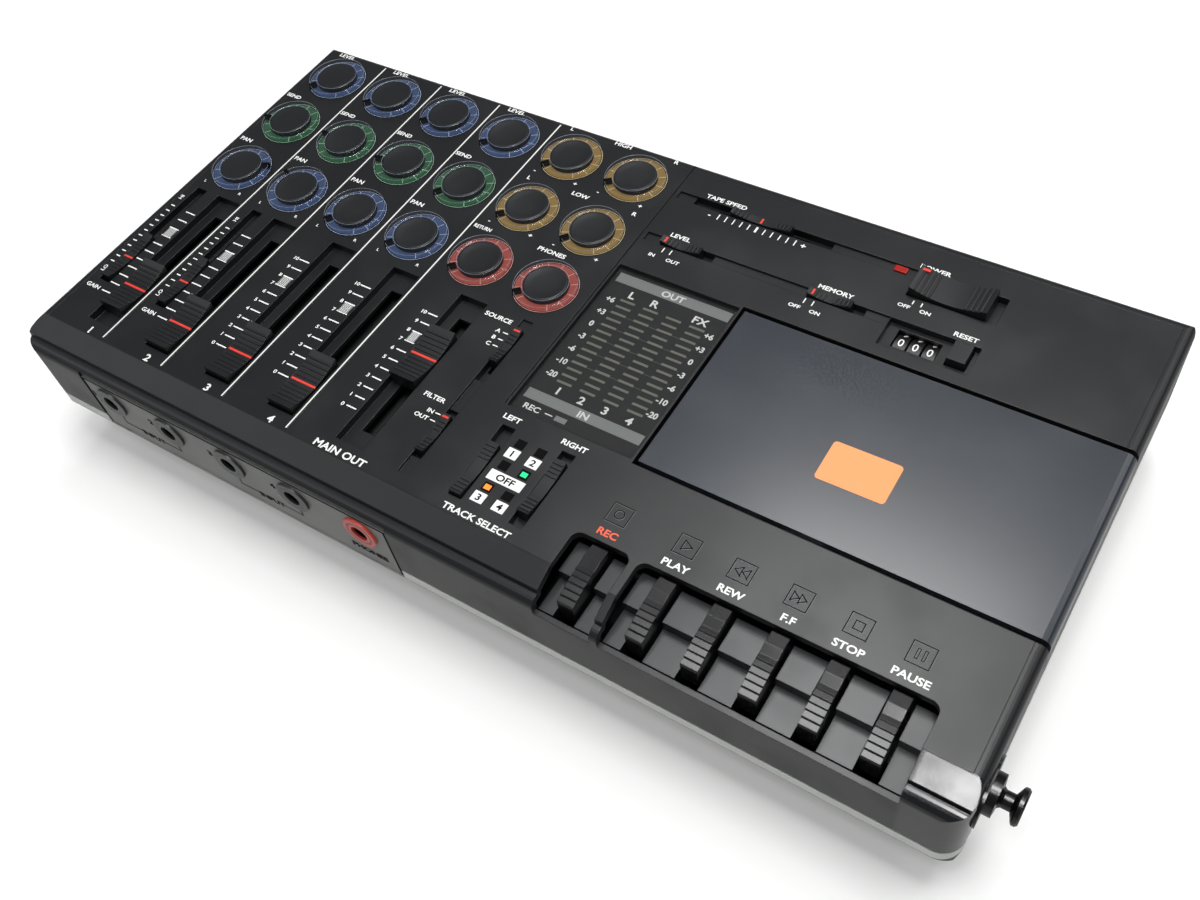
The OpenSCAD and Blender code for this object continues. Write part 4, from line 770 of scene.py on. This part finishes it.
def all_knobs():
    """Every knob, its pointer where it stands in the photograph."""
    rest = {
        "tape_cue": (-143, -137, -133, -137), "effect": (-102, -90, -105, -140), "pan": (62, -62, -139, -139),
    }
    for (kind, angles), v in zip(rest.items(), ROW_V):
        for i, angle in enumerate(angles):
            make_knob(f"knob_{kind}_{i + 1}", FIRST_KNOB_U + i * CHANNEL, v, angle)
    tone = (("eq_high_left", 0, 0, -138), ("eq_high_right", 1, 0, -127), ("eq_low_left", 0, 1, -138),
            ("eq_low_right", 1, 1, -139), ("effect_return", 0, 2, -135), ("phones", 1, 2, -133))
    for kind, column, row, angle in tone:
        make_knob("knob_" + kind, TONE_U[column], ROW_V[row], angle)


# ---------------------------------------------------------------- sliders


def hollow_height(length, high, sag, along):
    """Height of a hollow cap's top at a distance along it from its middle."""
    radius = (length * length / 4 + sag * sag) / (2 * sag)
    return TOP + high - sag + radius - math.sqrt(radius * radius - along * along)


def cap_ribs(name, body, u, v, length, width, high, sag, places, turned=False, mark=None, line=None,
             slot="slider_black"):
    """Ribs across a hollow slider cap, with a red line across its middle or a red pointer at one end."""
    maker = Maker()

    def bar(along, wide, deep, tall, finish):
        z = hollow_height(length, high, sag, along)
        tilt = 0.15 * abs(along) / length
        spans = ((along - deep / 2, along + deep / 2), (-wide / 2, wide / 2))
        u_span, v_span = (spans[0], spans[1]) if turned else (spans[1], spans[0])
        maker.block((u + u_span[0], u + u_span[1]), (v + v_span[0], v + v_span[1]), (z - 0.5, z + tall + tilt),
                    finish, min(0.12, deep / 4))

    for along in places:
        bar(along, width - 0.3, 0.75, 0.32, SLIDER if slot == "slider_black" else POWER)
    if line:
        bar(0.0, width + 0.02, line, 0.12, RED_INK)
    if mark is not None:
        bar(mark, width * 0.8, 0.8, 0.15, RED_INK)
    return maker.piece(name, body, slot)


def all_sliders():
    """Ribs and marks of every slider cap, where the cap stands at rest."""
    rest = (142.0, 147.8, 147.8, 147.8, 120.4)
    for i, (u, v) in enumerate(zip(FADER_U, rest)):
        body = "fader_master" if i == 4 else f"fader_{i + 1}"
        places = [side * (1.9 + 1.75 * k) for k in range(5) for side in (-1, 1)]
        cap_ribs(body + "_ribs", body, u, v, 23.2, 10.3, 2.9, 2.4, places, line=0.9)
    for i in range(2):
        places = [side * (3.2 + 1.6 * k) for k in range(4) for side in (-1, 1)]
        body = f"trim_{i + 1}"
        cap_ribs(body + "_ribs", body, 10.4 + i * CHANNEL, 131.6, 23.2, 4.0, 1.8, 1.5, places, line=0.8)
    small = (
        ("monitor_slider", 162.8, 104.4, 15.5, 3.1, False, -6.6), ("nr_slider", 162.8, 144.6, 15.5, 3.1, False, -6.6),
        ("record_left_slider", 182.5, 149.5, 21.0, 4.2, False, None),
        ("record_right_slider", 205.0, 145.7, 21.0, 4.2, False, None),
        ("pitch_slider", 210.8, 17.2, 23.0, 3.1, True, 0.0), ("meter_slider", 191.8, 39.7, 15.5, 3.1, True, -6.0),
        ("zero_slider", 247.5, 39.7, 15.5, 3.1, True, -6.0),
    )
    for body, u, v, length, width, turned, mark in small:
        reach = length / 2 - 1.4
        places = [side * (reach - 1.5 * k) for k in range(4) for side in (-1, 1)]
        if mark is not None and mark != 0.0:
            places = [p for p in places if abs(p - mark) > 1.0]
        cap_ribs(body + "_ribs", body, u, v, length, width, 1.8, 1.4, places, turned, mark)
    places = [side * (6.0 + 1.7 * k) for k in range(4) for side in (-1, 1)]
    cap_ribs("power_slider_ribs", "power_slider", 281.5, 21.0, 26.0, 11.2, 3.6, 2.4, places, True,
             slot="power_grey")
    mark = Maker()
    mark.block((269.3, 272.0), (16.6, 17.6), (TOP + 1.8, TOP + 3.4), RED_INK, 0.1)
    mark.piece("power_mark", "power_slider", "power_grey")


# ---------------------------------------------------------------- meter, counter, door


def bar_rows(columns, rows, pitch_u, pitch_v, width, depth):
    """A grid of meter segments."""
    tree = bpy.data.node_groups.new("meter segments", "GeometryNodeTree")
    tree.interface.new_socket("Geometry", in_out="OUTPUT", socket_type="NodeSocketGeometry")
    sizes = (("Columns", columns, "Int"), ("Rows", rows, "Int"), ("Column pitch", pitch_u, "Float"),
             ("Row pitch", pitch_v, "Float"), ("Width", width, "Float"), ("Depth", depth, "Float"))
    for label, value, kind in sizes:
        socket = tree.interface.new_socket(label, in_out="INPUT", socket_type="NodeSocket" + kind)
        socket.default_value = value
    inside, outside = tree.nodes.new("NodeGroupInput"), tree.nodes.new("NodeGroupOutput")

    def span(count, pitch):
        return maths(tree, "MULTIPLY", maths(tree, "SUBTRACT", inside.outputs[count], 1.0), inside.outputs[pitch])

    grid = tree.nodes.new("GeometryNodeMeshGrid")
    wire(tree, span("Columns", "Column pitch"), grid.inputs["Size X"])
    wire(tree, span("Rows", "Row pitch"), grid.inputs["Size Y"])
    wire(tree, inside.outputs["Columns"], grid.inputs["Vertices X"])
    wire(tree, inside.outputs["Rows"], grid.inputs["Vertices Y"])
    size = tree.nodes.new("ShaderNodeCombineXYZ")
    wire(tree, inside.outputs["Width"], size.inputs["X"])
    wire(tree, inside.outputs["Depth"], size.inputs["Y"])
    size.inputs["Z"].default_value = 0.0001
    cube = tree.nodes.new("GeometryNodeMeshCube")
    wire(tree, size.outputs[0], cube.inputs["Size"])
    spread = tree.nodes.new("GeometryNodeInstanceOnPoints")
    wire(tree, grid.outputs["Mesh"], spread.inputs["Points"])
    wire(tree, cube.outputs["Mesh"], spread.inputs["Instance"])
    real = tree.nodes.new("GeometryNodeRealizeInstances")
    wire(tree, spread.outputs["Instances"], real.inputs["Geometry"])
    painted = tree.nodes.new("GeometryNodeSetMaterial")
    painted.inputs["Material"].default_value = BAR
    wire(tree, real.outputs["Geometry"], painted.inputs["Geometry"])
    wire(tree, painted.outputs["Geometry"], outside.inputs["Geometry"])
    return tree


def grown(tree, name, place):
    """What a geometry tree makes, as a plain mesh moved to its place."""
    holder = bpy.data.objects.new(name, bpy.data.meshes.new(name))
    bpy.context.scene.collection.objects.link(holder)
    grower = holder.modifiers.new("grow", "NODES")
    grower.node_group = tree
    bpy.context.view_layer.update()
    mesh = bpy.data.meshes.new_from_object(holder.evaluated_get(bpy.context.evaluated_depsgraph_get()))
    holder.modifiers.clear()
    holder.data = mesh
    mesh.transform(Matrix.Translation(place))
    return holder


def meter():
    """The meter's bed with its scale and segments, under a clear pane."""
    bed = Maker()
    z = METER_Z
    bed.block((177.2, 222.5), (56.2, 123.2), (59.9, z), METER_BED, 0.1)
    for v, word in (((57.4, 61.6), "OUT"), ((113.6, 117.6), "IN")):
        bed.flat((178.2, 221.6), v, z + 0.03, GREY_INK)
        bed.words(word, 200.0, sum(v) / 2, 2.6, WHITE_INK, z=z + 0.06)
    for u, word in ((187.3, "L"), (196.2, "R"), (213.6, "FX")):
        bed.words(word, u, 65.0, 3.0, WHITE_INK, z=z + 0.03)
    for k, word in enumerate(("+6", "+3", "0", "-3", "-6", "-10", "-20")):
        for u in (181.4, 219.2):
            bed.words(word, u, 69.5 + 6.0 * k, 2.3, WHITE_INK, z=z + 0.03, wide=0.95, bold=0.035)
    for k in range(4):
        bed.words(str(k + 1), METER_U + METER_PITCH * k, 110.8, 3.0, WHITE_INK, z=z + 0.03)
    bed.words("REC", 183.6, 120.4, 2.2, WHITE_INK, z=z + 0.03)
    bed.flat((188.6, 191.4), (120.2, 120.6), z + 0.03, WHITE_INK)
    bed.flat((192.4, 196.6), (119.4, 121.4), z + 0.03, GREY_INK)
    for v in (74.6, 80.6, 86.6, 92.6, 98.6):
        bed.flat((183.8, 217.6), (v - 0.06, v + 0.06), z + LAYER, BAR)
    made = bed.piece("meter_bed", "body", "meter_glass")
    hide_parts("meter_window")
    columns, rows, first_v = 4, 14, 68.4
    tree = bar_rows(columns, rows, METER_PITCH * MM, SEGMENT_PITCH * MM, 5.6 * MM, 0.9 * MM)
    middle = at(METER_U + METER_PITCH * (columns - 1) / 2, first_v + SEGMENT_PITCH * (rows - 1) / 2, z + 0.06)
    bars = grown(tree, "meter_segments", middle)
    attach(bars, "body")
    pane = Maker()
    pane.block((176.95, 222.75), (55.75, 123.65), (60.5, 61.9), PANE, 0.15)
    pane.piece("meter_pane", "body", "meter_glass")


def counter_digits():
    """Ten numerals round each counter wheel."""
    radius = WHEEL_R + 0.03
    for name, u in (("counter_hundreds", 274.15), ("counter_tens", 279.0), ("counter_units", 283.85)):
        maker = Maker()
        for k in range(10):
            turn = math.radians(36 * k)

            def where(x, y, turn=turn, u=u):
                t = turn - y / radius
                return at(u + x, WHEEL_V + radius * math.sin(t), WHEEL_Z + radius * math.cos(t))

            up = at(0, radius * math.sin(turn), radius * math.cos(turn)) - at(0, 0, 0)
            maker.spread(str(k), 3.1, 0.95, 0.01, "centre", WHITE_INK, where, up)
        maker.piece(name + "_numerals", name, "counter_black")


def door_label():
    """A plain paper label with rounded corners."""
    maker = Maker()
    corners, round_corner = [], 1.2
    for middle_u, middle_v, start in ((294.5, 90.8, 0), (294.6, 103.2, 90), (275.0, 103.5, 180), (274.9, 91.1, 270)):
        for step in range(5):
            t = math.radians(start + 22.5 * step)
            over, back = round_corner * math.sin(t), round_corner * math.cos(t)
            corners.append(at(middle_u + over, middle_v - back, TOP + 0.06))
    maker.face(corners, LABEL, (0, 0, 1))
    maker.piece("door_label", "cassette_door", "smoked_door")


def power_lamp():
    """Red lens beside the power slider."""
    maker = Maker()
    maker.block((259.8, 264.3), (15.9, 18.4), (TOP - 0.9, TOP + 0.15), RED_LENS, 0.3)
    maker.piece("power_lens", "body", "case")


# ---------------------------------------------------------------- jack plate and screws


def jack_printing():
    """Brackets, words and channel numbers on the jack plate, printed black, and bars of painted shade along its seams.
    """
    maker = Maker()
    y, line = JACK_FACE_V + 0.03, 0.6
    bracket_z, tick_top, bracket_reach = 33.8, 37.2, 9.0

    def bar(u, z):
        maker.face([at(u[0], y, z[0]), at(u[1], y, z[0]), at(u[1], y, z[1]), at(u[0], y, z[1])], DARK_INK_AND_SHADE, (0, -1, 0))

    for first in (0, 2):
        left, right = JACK_U + JACK_PITCH * first, JACK_U + JACK_PITCH * (first + 1)
        bar((left, left + line), (bracket_z + 0.4, tick_top))
        bar((right - line, right), (bracket_z + 0.4, tick_top))
        bar((left, left + bracket_reach), (bracket_z, bracket_z + line))
        bar((right - bracket_reach, right), (bracket_z, bracket_z + line))

    def word(text, u, z, height):
        maker.spread(text, height, 1.16, 0.06, "centre", DARK_INK_AND_SHADE, lambda x, t: at(u + x, y, z + t), (0, -1, 0))

    for i in range(4):
        word(str(i + 1), JACK_U + JACK_PITCH * i - 9.4, JACK_Z, 2.6)
    for text, u in (("INPUT", 53.9), ("INPUT", 111.1), ("PHONES", 154.0)):
        word(text, u, 33.9, 2.5)
    # Bars of painted shade on the plate's left, right and top edges, where the gaps round the plate fall dark.
    sides_z = (PLATE_Z[0], PLATE_Z[1] - 0.1)
    bar((PLATE_U[0], PLATE_U[0] + 0.8), sides_z)
    bar((PLATE_U[1] - 1.3, PLATE_U[1]), sides_z)
    bar(PLATE_U, (PLATE_Z[1] - 1.0, PLATE_Z[1]))
    maker.piece("jack_printing", "body", "jack_plate")


def case_screws():
    """Cross slots of the case screws, seen from below, as flat crosses of painted shade on the plated heads."""
    places = [(31.375, 31.8), (117.525, 31.8), (171.9, 31.8), (283.0, 30.7)]
    head_z = 5.47
    maker = Maker()
    # Each slot is a flat cross of painted shade, not a recess.
    for u, v in places:
        for across, along in ((1.7, 0.35), (0.35, 1.7)):
            turns = ((-1, -1), (1, -1), (1, 1), (-1, 1))
            maker.face([at(u + a * across, v + b * along, head_z) for a, b in turns], DARK_INK_AND_SHADE, (0, 0, -1))
    maker.piece("painted_screw_slot_shade", "body", "fittings_metal")


print_mixer()
print_deck()
engrave_symbols()
select_window()
knob_ring_prints()
all_knobs()
all_sliders()
meter()
counter_digits()
door_label()
power_lamp()
jack_printing()
case_screws()

# ---------------------------------------------------------------- table, light and camera


def stage_floor():
    """A white table, even to the eye and dimmer where the case mirrors it."""
    mesh = bpy.data.meshes.new("table top")
    reach = 4
    corners = [(-reach, -reach, 0), (reach, -reach, 0), (reach, reach, 0), (-reach, reach, 0)]
    mesh.from_pydata(corners, [], [(0, 1, 2, 3)])
    floor = bpy.data.objects.new("table_top", mesh)
    bpy.context.scene.collection.objects.link(floor)
    material, tree, shader = blank_material("white table")
    shader.inputs["Base Color"].default_value = (0.86, 0.86, 0.85, 1)
    shader.inputs["Roughness"].default_value = 0.7
    seen = tree.nodes.new("ShaderNodeLightPath")
    shine = tree.nodes.new("ShaderNodeEmission")
    shine.inputs["Color"].default_value = (1.0, 1.0, 0.99, 1)
    blend = tree.nodes.new("ShaderNodeMixShader")
    mirrored = seen.outputs["Is Glossy Ray"]
    direct = maths(tree, "MULTIPLY", seen.outputs["Is Camera Ray"], 0.15)
    wire(tree, map_range(tree, mirrored, 0, 1, 1.5, 0.45), shine.inputs["Strength"])
    wire(tree, maths(tree, "MULTIPLY_ADD", mirrored, 0.85, direct), blend.inputs["Fac"])
    wire(tree, shader.outputs[0], blend.inputs[1])
    wire(tree, shine.outputs[0], blend.inputs[2])
    wire(tree, blend.outputs[0], tree.nodes["Material Output"].inputs["Surface"])
    mesh.materials.append(material)


def soft_light(name, place, aim, size, power):
    data = bpy.data.lights.new(name, "AREA")
    data.shape = "RECTANGLE"
    data.size, data.size_y = size
    data.energy = power
    lamp = bpy.data.objects.new(name, data)
    lamp.location = place
    lamp.rotation_euler = (Vector(aim) - Vector(place)).to_track_quat("-Z", "Y").to_euler()
    bpy.context.scene.collection.objects.link(lamp)


def studio():
    """Soft lights; each power in watts."""
    world = bpy.data.worlds.new("studio")
    bpy.context.scene.world = world
    world.use_nodes = True
    world.node_tree.nodes["Background"].inputs["Color"].default_value = (0.95, 0.97, 1.0, 1)
    world.node_tree.nodes["Background"].inputs["Strength"].default_value = 0.18
    soft_light("ceiling window", (-0.12, 0.5, 1.45), (-0.12, 0.5, 0), (0.46, 0.62), 8)
    soft_light("small window", (0.09, -0.47, 1.4), (0.09, -0.47, 0), (0.13, 0.11), 2.2)
    soft_light("light over the table", (0.3, 0.0, 1.6), (0.3, 0.0, 0), (0.5, 0.5), 17)
    soft_light("far window", (0.9, 1.3, 1.5), (0, 0, 0.03), (1.2, 0.9), 6)
    soft_light("fill light", (-1.2, -0.6, 1.3), (0, 0, 0.03), (1.2, 1.2), 4)


def photo_camera():
    """The camera where the photographer stood."""
    right = Vector((0.8393394657185158, 0.5307995862929613, -0.1173075465542496))
    down = Vector((0.3720677428634898, -0.7182723157147601, -0.5879204667284715))
    ahead = Vector((-0.3963267036269754, 0.4498184963615623, -0.8003677056973242))
    data = bpy.data.cameras.new("photographer")
    data.sensor_width = 36.0
    data.lens = 36.886
    camera = bpy.data.objects.new("photographer", data)
    turn = Matrix((right, -down, -ahead)).transposed().to_4x4()
    camera.matrix_world = Matrix.Translation((0.185105, -0.204618, 0.36166)) @ turn
    bpy.context.scene.collection.objects.link(camera)
    bpy.context.scene.camera = camera


stage_floor()
studio()
photo_camera()
bpy.context.scene.view_settings.view_transform = "Standard"

bpy.context.view_layer.update()
